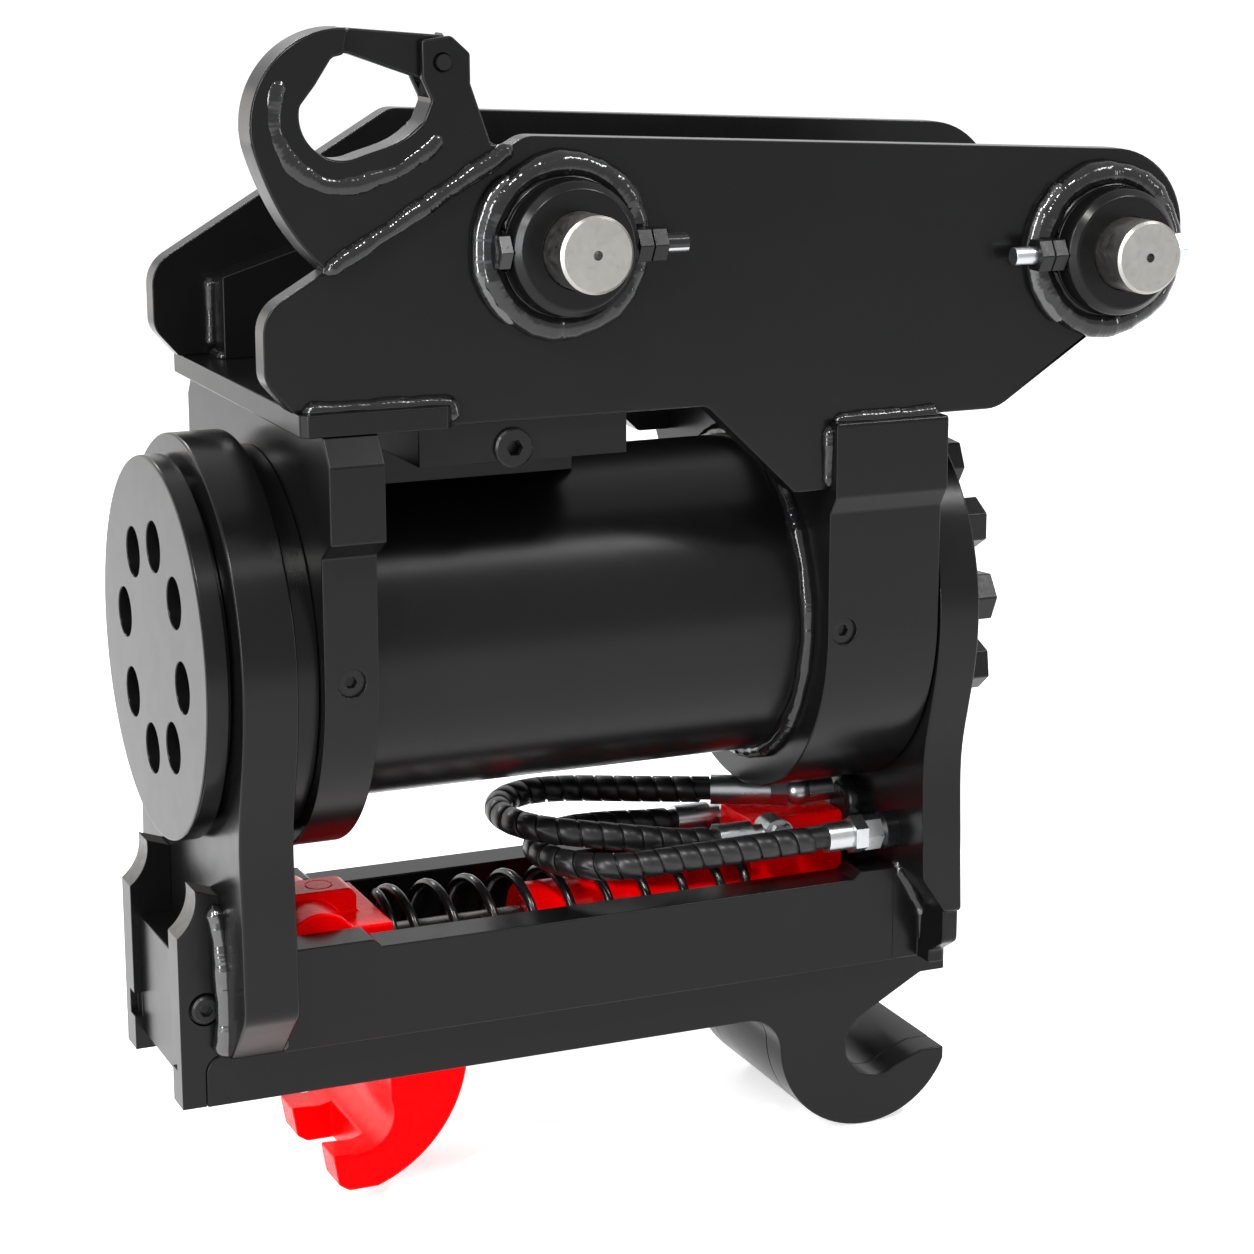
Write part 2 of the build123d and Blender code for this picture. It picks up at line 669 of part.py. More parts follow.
with BuildPart() as end_disc_screws:
    with BuildSketch(station(DISC_HOLE_DEPTH - SCREW_D)):
        with PolarLocations(DISC_RING_R, DISC_HOLES, disc_hole_start):
            Circle(SCREW_HEAD_D / 2)
            RegularPolygon(SCREW_D * 0.44, 6, major_radius=False, mode=Mode.SUBTRACT)
    extrude(amount=SCREW_D / 2)
    with BuildSketch(station(DISC_HOLE_DEPTH - SCREW_D / 2)):
        with PolarLocations(DISC_RING_R, DISC_HOLES, disc_hole_start):
            Circle(SCREW_HEAD_D / 2)
    extrude(amount=SCREW_D / 2)
    with BuildSketch(station(DISC_HOLE_DEPTH)):
        with PolarLocations(DISC_RING_R, DISC_HOLES, disc_hole_start):
            Circle(SCREW_D / 2)
    extrude(amount=2 * SCREW_D)
keep(end_disc_screws.part, "end_disc_screws")

shaft_x = LEFT_LEG_X + HUB_L
with BuildPart() as output_shaft:
    with BuildSketch(station(shaft_x)):
        Circle(HUB_R)
    extrude(amount=LEFT_LEG_END - shaft_x)
    with BuildSketch(station(LEFT_LEG_END)):
        Circle(SHAFT_FLANGE_R)
    extrude(amount=LEFT_FLANGE_X - RUN_GAP - LEFT_LEG_END)
    with BuildSketch(station(LEFT_FLANGE_X - RUN_GAP)):
        Circle(SHAFT_R)
    extrude(amount=RIGHT_LEG_END - LEFT_FLANGE_X + RUN_GAP)
    with BuildSketch(station(shaft_x)):
        with PolarLocations(DISC_RING_R, DISC_HOLES, disc_hole_start):
            Circle(SCREW_D / 2)
    screw_end = DISC_HOLE_DEPTH + 2 * SCREW_D
    extrude(amount=min(screw_end, LEFT_FLANGE_X - RUN_GAP) - shaft_x, mode=Mode.SUBTRACT)
keep(output_shaft.part, "output_shaft")


def leg(x, thickness, bore_r, foot, foot_radii):
    """Leg plate: round about the shaft, a smooth waist, and a foot with its own outline."""
    with BuildPart() as plate:
        with BuildSketch(station(x)):
            with BuildLine():
                hip = (LEG_R, 0)
                shin = (LEG_SHIN, LEG_SHIN_Z)
                RadiusArc((0, LEG_R), hip, LEG_R)
                Spline(hip, (LEG_WAIST, LEG_WAIST_Z), shin, tangents=((0, -1), (0.01, -1)))
                FilletPolyline(shin, *foot, (0, RAIL_FOOT_Z), radius=foot_radii)
                Line((0, RAIL_FOOT_Z), (0, LEG_R))
            make_face()
            mirror(about=Plane.YZ)
            Circle(bore_r, mode=Mode.SUBTRACT)
        extrude(amount=thickness)
    return plate.part


left_foot = [(LEFT_FOOT, LEFT_FOOT_Z), (RAIL_OUT, RAIL_FOOT_Z)]
keep(leg(LEFT_LEG_X, LEFT_LEG_T, HUB_R, left_foot, [16, 10]), "left_leg")

right_foot = [
    (RIGHT_KNEE, RIGHT_KNEE_Z),
    (RIGHT_FOOT, RIGHT_KNEE_Z),
    (RIGHT_FOOT, RIGHT_FOOT_Z),
    (RIGHT_TOE, RIGHT_TOE_Z),
    (RIGHT_TOE, RAIL_FOOT_Z),
]
with BuildPart() as right_leg:
    add(leg(RIGHT_LEG_X, RIGHT_LEG_T, SHAFT_R, right_foot, [3, 0, 6, 4, 0]))
    with BuildSketch(station(RIGHT_LEG_X)):
        with PolarLocations(LEG_RING_R, LEG_BOLTS, LEG_BOLT_START):
            Circle(SCREW_D / 2 + SCREW_PLAY)
    extrude(amount=RIGHT_LEG_T, mode=Mode.SUBTRACT)
    for bevel_y in (-RAIL_OUT, LEG_R):
        with BuildSketch(side(bevel_y)):
            with BuildLine():
                Polyline(
                    (RIGHT_LEG_X, WELD_BEVEL_TOP_Z),
                    (RIGHT_LEG_X + WELD_BEVEL_DEPTH, WELD_BEVEL_TOP_Z - 1.5 * WELD_BEVEL_DEPTH),
                    (RIGHT_LEG_X + WELD_BEVEL_DEPTH, RAIL_FOOT_Z),
                    (RIGHT_LEG_X, RAIL_FOOT_Z),
                    close=True,
                )
            make_face()
        extrude(amount=LEG_R - RAIL_OUT, mode=Mode.SUBTRACT)
keep(right_leg.part, "right_leg")

# Hub keyed on the shaft, which carries the right leg
with BuildPart() as drive_hub:
    with BuildSketch(station(DRIVE_HUB_X)):
        Circle(DRIVE_HUB_R)
        Circle(SHAFT_R, mode=Mode.SUBTRACT)
        with PolarLocations(LEG_RING_R, LEG_BOLTS, LEG_BOLT_START):
            Circle(SCREW_D / 2, mode=Mode.SUBTRACT)
    extrude(amount=DRIVE_HUB_T)
keep(drive_hub.part, "drive_hub")

with BuildPart() as leg_bolts:
    with BuildSketch(station(DRIVE_HUB_X + RUN_GAP)):
        with PolarLocations(LEG_RING_R, LEG_BOLTS, LEG_BOLT_START):
            Circle(SCREW_D / 2)
    extrude(amount=RIGHT_LEG_END - DRIVE_HUB_X - RUN_GAP)
    with BuildSketch(station(RIGHT_LEG_END)):
        with PolarLocations(LEG_RING_R, LEG_BOLTS, LEG_BOLT_START):
            RegularPolygon(LEG_BOLT_AF / 2, 6, major_radius=False)
    extrude(amount=LEG_BOLT_HEAD_H)
keep(leg_bolts.part, "leg_bolts")

# Side rails: their top edge dips between the legs to clear the spring and hoses
rail_top = [
    (LEFT_LEG_END, RAIL_FOOT_Z),
    (LEFT_LEG_END, RAIL_TOP_Z),
    (LEFT_LEG_END + RAIL_DIP_START, RAIL_TOP_Z),
    (LEFT_LEG_END + RAIL_DIP_START + RAIL_DIP, RAIL_TOP_Z - RAIL_DIP),
    (RIGHT_LEG_X - RAIL_DIP_END - RAIL_DIP, RAIL_TOP_Z - RAIL_DIP),
    (RIGHT_LEG_X - RAIL_DIP_END, RAIL_TOP_Z),
    (RIGHT_LEG_X, RAIL_TOP_Z),
    (RIGHT_LEG_X, RAIL_FOOT_Z),
]
with BuildPart() as rail_near:
    with BuildSketch(side(-RAIL_IN)):
        with BuildLine():
            Polyline(*rail_top, close=True)
        make_face()
    extrude(amount=RAIL_OUT - RAIL_IN)
keep(rail_near.part, "rail_near")

with BuildPart() as rail_far:
    mirror(rail_near.part, about=Plane.XZ)
keep(rail_far.part, "rail_far")


def jaw_body():
    """Outline of the fixed jaw: heel, round back, tip, open mouth and upper lip."""
    heel = (PLATE_HEEL_X, PLATE_FOOT_Z)
    back_x = JAW_BODY_X - JAW_BODY_R
    tip_reach = math.sqrt(JAW_BODY_R**2 - (JAW_TIP_X - JAW_BODY_X) ** 2)
    back_low = (JAW_TIP_X, JAW_BODY_Z - tip_reach)
    mouth_floor = (FIXED_JAW_X + JAW_R * 0.6, JAW_Z - JAW_R * 0.8)
    lip_turn = math.radians(JAW_LIP_TURN)
    lip = (FIXED_JAW_X + JAW_R * math.cos(lip_turn), JAW_Z + JAW_R * math.sin(lip_turn))
    with BuildLine() as border:
        TangentArc(heel, (back_x, JAW_BODY_Z), tangent=(1, 0))
        ThreePointArc(
            (back_x, JAW_BODY_Z),
            (JAW_BODY_X - 0.28 * JAW_BODY_R, JAW_BODY_Z - 0.96 * JAW_BODY_R),
            back_low,
        )
        Polyline(back_low, (JAW_TIP_X, JAW_TIP_Z), (JAW_TIP_X - JAW_LIP, JAW_TIP_Z), mouth_floor)
        ThreePointArc(mouth_floor, (FIXED_JAW_X - JAW_R, JAW_Z), lip)
        Polyline(
            lip,
            (JAW_MOUTH_X, JAW_MOUTH_Z),
            (PLATE_END_X, JAW_MOUTH_Z),
            (PLATE_END_X, RAIL_FOOT_Z),
            (PLATE_HEEL_X, RAIL_FOOT_Z),
            heel,
        )
    make_face(border.edges())


plate_corner_r = LEFT_LEG_X - PLATE_X
with BuildPart() as hook_plate_near:
    with BuildSketch(side(-PLATE_IN)):
        jaw_body()
        with BuildLine():
            outline(
                [
                    (PLATE_X, PLATE_FOOT_Z),
                    (PLATE_X, RAIL_FOOT_Z),
                    (PLATE_HEEL_X, RAIL_FOOT_Z),
                    (PLATE_HEEL_X, PLATE_FOOT_Z),
                ],
                [0, plate_corner_r, 0, 0],
            )
        make_face()
    extrude(amount=PLATE_OUT - PLATE_IN)
keep(hook_plate_near.part, "hook_plate_near")

with BuildPart() as hook_plate_far:
    mirror(hook_plate_near.part, about=Plane.XZ)
keep(hook_plate_far.part, "hook_plate_far")

# Jaw block between the hook plates
with BuildPart() as jaw_block:
    with BuildSketch(side(PLATE_IN)):
        jaw_body()
        with Locations((CYL_BLOCK_X, (PLATE_FOOT_Z + RAIL_FOOT_Z) / 2)):
            Rectangle(JAW_BODY_R, JAW_BODY_R, align=(Align.MAX, Align.CENTER), mode=Mode.SUBTRACT)
    extrude(amount=2 * PLATE_IN)
keep(jaw_block.part, "jaw_block")

# Front forks: machined hollow under each tip, and a spacer plate between them
hollow_x = (FORK_FRONT_X + FORK_TIP_X) / 2 + FORK_HOLLOW
with BuildPart() as fork_plates:
    with BuildSketch(side(-PLATE_IN)):
        with BuildLine():
            ThreePointArc(
                (FORK_FRONT_X, FORK_CHIN_Z),
                (hollow_x, (FORK_CHIN_Z + FORK_TIP_Z) / 2 - FORK_HOLLOW / 2),
                (FORK_TIP_X, FORK_TIP_Z),
            )
            Polyline(
                (FORK_TIP_X, FORK_TIP_Z),
                (LEFT_LEG_X, FORK_BACK_Z),
                (LEFT_LEG_X, RAIL_FOOT_Z),
            )
            RadiusArc((LEFT_LEG_X, RAIL_FOOT_Z), (PLATE_X, RAIL_FOOT_Z - plate_corner_r), -plate_corner_r)
            Polyline(
                (PLATE_X, RAIL_FOOT_Z - plate_corner_r),
                (PLATE_X, PLATE_FOOT_Z),
                (FORK_FRONT_X, PLATE_FOOT_Z),
                (FORK_FRONT_X, FORK_CHIN_Z),
            )
        make_face()
    extrude(amount=FORK_OUT - PLATE_IN)
    with BuildSketch(side(-FORK_OUT)):
        with Locations((FORK_SCREW_X, FORK_SCREW_Z)):
            Circle(FORK_SCREW_R + 1)
    extrude(amount=-FORK_SCREW_SINK, mode=Mode.SUBTRACT)
    with BuildSketch(side(-PLATE_IN)):
        with Locations((FORK_FRONT_X, FORK_NOTCH_Z)):
            Rectangle(FORK_NOTCH_W, FORK_NOTCH_H)
    extrude(amount=FORK_NOTCH_W, mode=Mode.SUBTRACT)
    mirror(about=Plane.XZ)
keep(fork_plates.part, "fork_plates")

with BuildPart() as fork_spacer:
    with BuildSketch(side(PLATE_IN)):
        with BuildLine():
            Polyline(
                (FORK_FRONT_X + FORK_SPACER_BACK, FORK_SPACER_FOOT_Z),
                (FORK_FRONT_X + FORK_SPACER_BACK, FORK_SPACER_TOP_Z),
                (LEFT_LEG_X, FORK_SPACER_TOP_Z),
                (LEFT_LEG_X, FORK_SPACER_FOOT_Z),
                close=True,
            )
        make_face()
    extrude(amount=2 * PLATE_IN)
keep(fork_spacer.part, "fork_spacer")

with BuildPart() as fork_screws:
    with BuildSketch(side(FORK_SCREW_SINK - FORK_OUT)):
        with Locations((FORK_SCREW_X, FORK_SCREW_Z)):
            Circle(FORK_SCREW_R)
    extrude(amount=FORK_SCREW_SINK + FORK_SCREW_STAND)
    chamfer(fork_screws.edges().group_by(Axis.Y)[0], length=1.5)
    with BuildSketch(side(-FORK_OUT - FORK_SCREW_STAND)):
        with Locations((FORK_SCREW_X, FORK_SCREW_Z)):
            RegularPolygon(3, 6, major_radius=False)
    extrude(amount=-3, mode=Mode.SUBTRACT)
    mirror(about=Plane.XZ)
keep(fork_screws.part, "fork_screws")

# Moving hook: an upright block guided by the hook plates, and two prongs below them
plate_slide = PLATE_IN - RUN_GAP
prong_top = PLATE_FOOT_Z - HOOK_PLAY
back_top_x = HOOK_BACK_X + math.sqrt(HOOK_BACK_R**2 - (HOOK_BACK_Z - prong_top) ** 2)
back_foot_x = HOOK_BACK_X + math.sqrt(HOOK_BACK_R**2 - (HOOK_BACK_Z - HOOK_FOOT_Z) ** 2)
jaw_floor_turn = math.radians(-100)
jaw_corner_turn = math.radians(-40)
jaw_roof_turn = math.radians(22)


def on_moving_jaw(turn):
    """Point on the moving jaw's round wall at an angle from the tilt axis."""
    return (MOVING_JAW_X + JAW_R * math.cos(turn), JAW_Z + JAW_R * math.sin(turn))


jaw_floor_end = on_moving_jaw(jaw_floor_turn)
jaw_corner = on_moving_jaw(jaw_corner_turn)
jaw_roof_end = on_moving_jaw(jaw_roof_turn)
lug_end = HOOK_X + HOOK_LUG_L
with BuildPart() as locking_hook:
    with BuildSketch(side(plate_slide)):
        with BuildLine():
            Polyline(
                (HOOK_HUMP_X + HOOK_HUMP_HALF, HOOK_BLOCK_TOP_Z),
                (HOOK_BLOCK_END, HOOK_BLOCK_TOP_Z),
                (HOOK_BLOCK_END, HOOK_SHELF_Z),
                (back_top_x, HOOK_SHELF_Z),
                (back_top_x, prong_top),
                (HOOK_X, prong_top),
                (HOOK_X, HOOK_BLOCK_TOP_Z + HOOK_PLAY),
            )
            ThreePointArc(
                (HOOK_X, HOOK_BLOCK_TOP_Z + HOOK_PLAY),
                (HOOK_HUMP_X, HOOK_HUMP_Z),
                (HOOK_HUMP_X + HOOK_HUMP_HALF, HOOK_BLOCK_TOP_Z),
            )
        make_face()
    extrude(amount=2 * plate_slide)
    with BuildSketch(side(HOOK_LUG_HALF)):
        with BuildLine():
            outline(
                [
                    (HOOK_X, CYL_Z),
                    (HOOK_X, HOOK_TOP_Z),
                    (lug_end, HOOK_TOP_Z),
                    (lug_end, CYL_Z),
                ],
                [0, 2, 6, 0],
            )
        make_face()
    extrude(amount=2 * HOOK_LUG_HALF)
    with BuildSketch(side(HOOK_PRONG_OUT)):
        with BuildLine():
            ThreePointArc(
                (back_top_x, prong_top),
                (HOOK_BACK_X + HOOK_BACK_R * 0.8, HOOK_BACK_Z - HOOK_BACK_R * 0.6),
                (back_foot_x, HOOK_FOOT_Z),
            )
            Polyline(
                (back_foot_x, HOOK_FOOT_Z),
                (HOOK_TIP_X + 9, HOOK_FOOT_Z),
                (HOOK_TIP_X + 3, HOOK_FOOT_Z + 4),
                (HOOK_TIP_X, JAW_Z - JAW_R + 1),
                jaw_floor_end,
            )
            ThreePointArc(jaw_floor_end, jaw_corner, jaw_roof_end)
            Polyline(jaw_roof_end, (jaw_roof_end[0], prong_top), (back_top_x, prong_top))
        make_face()
    extrude(amount=2 * HOOK_PRONG_OUT)
    with BuildSketch(side(HOOK_PRONG_IN)):
        with BuildLine():
            Polyline(
                (HOOK_X - 1, prong_top),
                (HOOK_WEB_X, prong_top),
                (HOOK_WEB_X, HOOK_FOOT_Z - 5),
                (HOOK_X - 1, HOOK_FOOT_Z - 5),
                close=True,
            )
        make_face()
    extrude(amount=2 * HOOK_PRONG_IN, mode=Mode.SUBTRACT)
    rod_socket = HOOK_BLOCK_END - ROD_PIN_X + ROD_PIN_D
    with BuildSketch(station(HOOK_BLOCK_END - rod_socket)):
        with Locations((0, CYL_Z)):
            Circle(ROD_R)
    extrude(amount=rod_socket, mode=Mode.SUBTRACT)
    with BuildSketch(level(HOOK_TOP_Z)):
        with Locations((ROD_PIN_X, 0)):
            Circle(ROD_PIN_D / 2)
    extrude(amount=CYL_Z - HOOK_TOP_Z - 2 * ROD_R, mode=Mode.SUBTRACT)
keep(locking_hook.part, "locking_hook")

rod_x = HOOK_BLOCK_END - rod_socket
rod_end_x = BARREL_X + GLAND_L + HOOK_PLAY
with BuildPart() as cylinder_rod:
    with BuildSketch(station(rod_x)):
        with Locations((0, CYL_Z)):
            Circle(ROD_R)
    extrude(amount=rod_end_x - rod_x)
    with BuildSketch(station(rod_end_x)):
        with Locations((0, CYL_Z)):
            Circle(BARREL_BORE_R - SHAFT_PLAY)
    extrude(amount=CYL_PISTON_L)
    with BuildSketch(level(HOOK_TOP_Z)):
        with Locations((ROD_PIN_X, 0)):
            Circle(ROD_PIN_D / 2)
    extrude(amount=CYL_Z - HOOK_TOP_Z - 2 * ROD_R, mode=Mode.SUBTRACT)
keep(cylinder_rod.part, "cylinder_rod")

with BuildPart() as rod_pin:
    with BuildSketch(level(HOOK_TOP_Z)):
        with Locations((ROD_PIN_X, 0)):
            Circle(ROD_PIN_D / 2)
    extrude(amount=CYL_Z - HOOK_TOP_Z - 2 * ROD_R)
keep(rod_pin.part, "rod_pin")

# Locking cylinder: barrel, gland and the block that closes it against the right leg
with BuildPart() as cylinder_barrel:
    with BuildSketch(station(BARREL_X)):
        with Locations((0, CYL_Z)):
            Circle(BARREL_R)
            Circle(BARREL_BORE_R, mode=Mode.SUBTRACT)
    extrude(amount=CYL_BLOCK_X - BARREL_X)
keep(cylinder_barrel.part, "cylinder_barrel")

with BuildPart() as cylinder_gland:
    with BuildSketch(station(BARREL_X)):
        with Locations((0, CYL_Z)):
            Circle(BARREL_BORE_R)
            Circle(ROD_R + SHAFT_PLAY, mode=Mode.SUBTRACT)
    extrude(amount=GLAND_L)
keep(cylinder_gland.part, "cylinder_gland")

with BuildPart() as cylinder_block:
    with BuildSketch(side(CYL_BLOCK_HALF)):
        with BuildLine():
            Polyline(
                (CYL_BLOCK_X, RAIL_FOOT_Z),
                (CYL_BLOCK_X, CYL_BLOCK_TOP_Z),
                (CYL_BLOCK_X + CYL_BLOCK_L, CYL_BLOCK_TOP_Z),
                (CYL_BLOCK_X + CYL_BLOCK_L, RAIL_FOOT_Z),
                close=True,
            )
        make_face()
    extrude(amount=2 * CYL_BLOCK_HALF)
    chamfer(cylinder_block.edges().filter_by(Axis.X).group_by(Axis.Z)[-1], length=2)
keep(cylinder_block.part, "cylinder_block")

# Safety spring that pushes the hook out when the pressure is lost
spring_seat = SPRING_WIRE_R + RUN_GAP
with BuildPart() as return_spring:
    spring_path = Helix(
        pitch=(SPRING_L - 2 * spring_seat) / SPRING_COILS,
        height=SPRING_L - 2 * spring_seat,
        radius=SPRING_R - SPRING_WIRE_R,
        center=(HOOK_BLOCK_END + spring_seat - ARM_PIN_X, 0, CYL_Z - ARM_PIN_Z),
        direction=(1, 0, 0),
    )
    with BuildSketch(Plane(origin=spring_path @ 0, z_dir=spring_path % 0)):
        Circle(SPRING_WIRE_R)
    sweep(path=spring_path, is_frenet=True)
keep(return_spring.part, "return_spring")

# Lifting hook welded on the near cheek's slope
LATCH_X, LATCH_Z = on_slope(LATCH_STATION, LATCH_RISE)
LIFT_EYE_X = LATCH_X - LATCH_REACH + 2 * LATCH_PLAY
LIFT_EYE_Z = LATCH_Z - LIFT_EYE_DROP
LIFT_BACK_Z = LATCH_Z - LIFT_BACK_DROP


def about_latch(across, up):
    """Point near the latch's pin, counted in radii of its eye."""
    return (LATCH_X + across * LATCH_EYE_R, LATCH_Z + up * LATCH_EYE_R)


def on_eye(turn):
    """Point on the round of the lifting eye at an angle from the tilt axis."""
    angle = math.radians(turn)
    return (LIFT_EYE_X + LIFT_EYE_R * math.cos(angle), LIFT_EYE_Z + LIFT_EYE_R * math.sin(angle))


def on_back(turn):
    """Point on the round outside of the lifting hook."""
    angle = math.radians(turn)
    return (LIFT_EYE_X + LIFT_BACK_R * math.cos(angle), LIFT_BACK_Z + LIFT_BACK_R * math.sin(angle))


neck_foot = on_slope(LIFT_NECK_X, 0)
eye_start = on_eye(168)
tip_top = on_back(86)
tip_foot = (tip_top[0] - 2, tip_top[1] - LATCH_EYE_R)
with BuildPart() as lifting_hook:
    with BuildSketch(side(LIFT_T / 2 - LIFT_Y)):
        with BuildLine():
            Spline(neck_foot, on_back(203), on_back(180), tangents=((-0.75, 0.66), (0, 1)))
            ThreePointArc(on_back(180), on_back(132), tip_top)
            Polyline(tip_top, tip_foot, about_latch(-4.45, 0.27), about_latch(-5.15, -0.77), eye_start)
            ThreePointArc(eye_start, on_eye(228), on_eye(290))
            Spline(on_eye(290), about_latch(-1.77, -2.95), about_latch(-0.77, -2.2), tangents=((1, 0.36), (1, 1)))
            Polyline(
                about_latch(-0.77, -2.2),
                about_latch(-0.46, -1.46),
                about_latch(-0.85, -0.62),
                about_latch(-0.85, 0.85),
                about_latch(0.38, 1),
                about_latch(1.15, 0.31),
                about_latch(1.15, -0.85),
                on_slope(LIFT_TAIL_X - 0.5 * LATCH_EYE_R, 0.6 * LATCH_EYE_R),
                on_slope(LIFT_TAIL_X, 0),
                neck_foot,
            )
        make_face()
    extrude(amount=LIFT_T)
    with BuildSketch(side(LATCH_T / 2 + LATCH_PLAY - LIFT_Y)):
        with Locations((LATCH_X, LATCH_Z)):
            Circle(LATCH_REACH + 2 * LATCH_PLAY)
        with Locations((LATCH_X - LATCH_REACH * 1.2, LATCH_Z - LATCH_REACH)):
            Rectangle(LATCH_REACH * 4, LATCH_REACH * 2, mode=Mode.SUBTRACT)
        with Locations((LATCH_X + LATCH_REACH, LATCH_Z)):
            Rectangle(LATCH_REACH * 2 - 2 * LATCH_EYE_R, LATCH_REACH * 4, mode=Mode.SUBTRACT)
    extrude(amount=LATCH_T + 2 * LATCH_PLAY, mode=Mode.SUBTRACT)
    with BuildSketch(side(LATCH_T / 2 + LATCH_PLAY - LIFT_Y)):
        with Locations((LATCH_X, LATCH_Z)):
            Circle(LATCH_EYE_R + 1)
        with Locations((LATCH_X - LATCH_EYE_R, LATCH_Z - LATCH_EYE_R / 2)):
            Rectangle(2 * LATCH_EYE_R, LATCH_EYE_R * 1.6)
    extrude(amount=LATCH_T + 2 * LATCH_PLAY, mode=Mode.SUBTRACT)
    with BuildSketch(side(LIFT_T - LIFT_Y)):
        with Locations((LATCH_X, LATCH_Z)):
            Circle(LATCH_PIN_R)
    extrude(amount=2 * LIFT_T, mode=Mode.SUBTRACT)
keep(lifting_hook.part, "lifting_hook")

latch_nose_x = LATCH_X - LATCH_REACH
with BuildPart() as safety_latch:
    with BuildSketch(side(LATCH_T / 2 - LIFT_Y)):
        with BuildLine():
            Polyline(
                about_latch(0.15, 1),
                (latch_nose_x + 6, LATCH_Z + 1.35 * LATCH_EYE_R),
                (latch_nose_x + 2.5, LATCH_Z + 1.08 * LATCH_EYE_R),
                (latch_nose_x, LATCH_Z + 0.46 * LATCH_EYE_R),
                (latch_nose_x + 6, LATCH_Z + 0.38 * LATCH_EYE_R),
                about_latch(-0.77, -0.62),
                about_latch(0, 0),
                close=True,
            )
        make_face()
        with Locations((LATCH_X, LATCH_Z)):
            Circle(LATCH_EYE_R)
            Circle(LATCH_PIN_R + SHAFT_PLAY, mode=Mode.SUBTRACT)
    extrude(amount=LATCH_T)
keep(safety_latch.part, "safety_latch")

with BuildPart() as latch_pin:
    with BuildSketch(side(LIFT_T / 2 + 2 - LIFT_Y)):
        with Locations((LATCH_X, LATCH_Z)):
            Circle(LATCH_PIN_R)
    extrude(amount=LIFT_T + 4)
keep(latch_pin.part, "latch_pin")

# Hose routes: each starts at its fitting's face and ends at its banjo's ferrule
HOSE_END_X = 323.0
banjo_y = CYL_BLOCK_HALF + BANJO_W / 2
elbow_route = [
    (343, 20.6, -125.8),
    (300, 41.4, -126),
    (252, 65, -126),
    (221, 55, -126.2),
    (208, 28, -126.4),
    (214, -4, -126.6),
    (240, -24, -128),
    (280, -31, -134.5),
    (306, -banjo_y, NEAR_BANJO_Z),
    (HOSE_END_X, -banjo_y, NEAR_BANJO_Z),
]
union_route = [
    (UNION_HOSE_X, -UNION_Y, UNION_Z),
    (337, -UNION_Y, UNION_Z),
    (291, -57, -139.5),
    (250, -50, -142.5),
    (224, -22, -143.8),
    (224, 16, -144.3),
    (252, 40, -145),
    (284, 40, -145.4),
    (308, banjo_y, FAR_BANJO_Z),
    (HOSE_END_X, banjo_y, FAR_BANJO_Z),
]


def hose(points, name):
    """Plain tube along straight runs joined by tangent arcs, each as large as its runs allow."""
    places = [Vector(x - ARM_PIN_X, y, z - ARM_PIN_Z) for x, y, z in points]
    radii = []
    for before, here, after in zip(places, places[1:], places[2:]):
        run_in = here - before
        run_out = after - here
        half_turn = math.radians(run_in.get_angle(run_out)) / 2
        radii.append(0.45 * min(run_in.length, run_out.length) / math.tan(half_turn))
    with BuildPart() as tube:
        with BuildLine() as route:
            FilletPolyline(*places, radius=radii)
        with BuildSketch(Plane(origin=route.line @ 0, z_dir=route.line % 0)):
            Circle(HOSE_D / 2)
        sweep(path=route.line)
    print(name, "radii", [round(r, 1) for r in radii])
    length = sum(edge.length for edge in route.edges())
    ideal = math.pi * HOSE_D**2 / 4 * length
    print(name, "length", round(length, 1), "volume ratio", round(tube.part.volume / ideal, 4))
    return tube.part


keep(hose(elbow_route, "elbow_hose"), "elbow_hose")
keep(hose(union_route, "union_hose"), "union_hose")

# Hose ends at the right leg: a domed boss with an elbow, and a bulkhead union
with BuildPart() as elbow_boss:
    with BuildSketch(station(RIGHT_LEG_X)):
        with Locations((DOME_Y, DOME_Z)):
            Circle(DOME_R)
    extrude(amount=-DOME_L)
    fillet(elbow_boss.edges().group_by(Axis.X)[0], radius=DOME_L * 0.6)
keep(elbow_boss.part, "elbow_boss")

elbow_start = Vector(elbow_route[0][0] - ARM_PIN_X, elbow_route[0][1], elbow_route[0][2] - ARM_PIN_Z)
elbow_next = Vector(elbow_route[1][0] - ARM_PIN_X, elbow_route[1][1], elbow_route[1][2] - ARM_PIN_Z)
elbow_way = (elbow_start - elbow_next).normalized()
elbow_knee = elbow_start + elbow_way * (FERRULE_L + HEX_L + FERRULE_R * 0.7)
with BuildPart() as elbow_fitting:
    with BuildSketch(Plane(origin=elbow_start, z_dir=elbow_way)):
        Circle(FERRULE_R)
    extrude(amount=FERRULE_L)
    with BuildSketch(Plane(origin=elbow_start + elbow_way * FERRULE_L, z_dir=elbow_way)):
        RegularPolygon(FERRULE_R * 0.9, 6, major_radius=False)
    extrude(amount=HEX_L)
    with Locations(elbow_knee):
        Sphere(FERRULE_R)
    with BuildSketch(Plane(origin=elbow_knee, x_dir=(0, 1, 0), z_dir=(1, 0, 0))):
        Circle(FERRULE_R * 0.9)
    extrude(amount=RIGHT_LEG_X - DOME_L - ARM_PIN_X - elbow_knee.X)
keep(elbow_fitting.part, "elbow_fitting")

with BuildPart() as bulkhead_nut:
    with BuildSketch(station(RIGHT_LEG_X)):
        with Locations((-UNION_Y, UNION_Z)):
            Circle(BULKHEAD_R)
    extrude(amount=-HEX_L)
    chamfer(bulkhead_nut.edges().group_by(Axis.X)[0], length=2)
keep(bulkhead_nut.part, "bulkhead_nut")

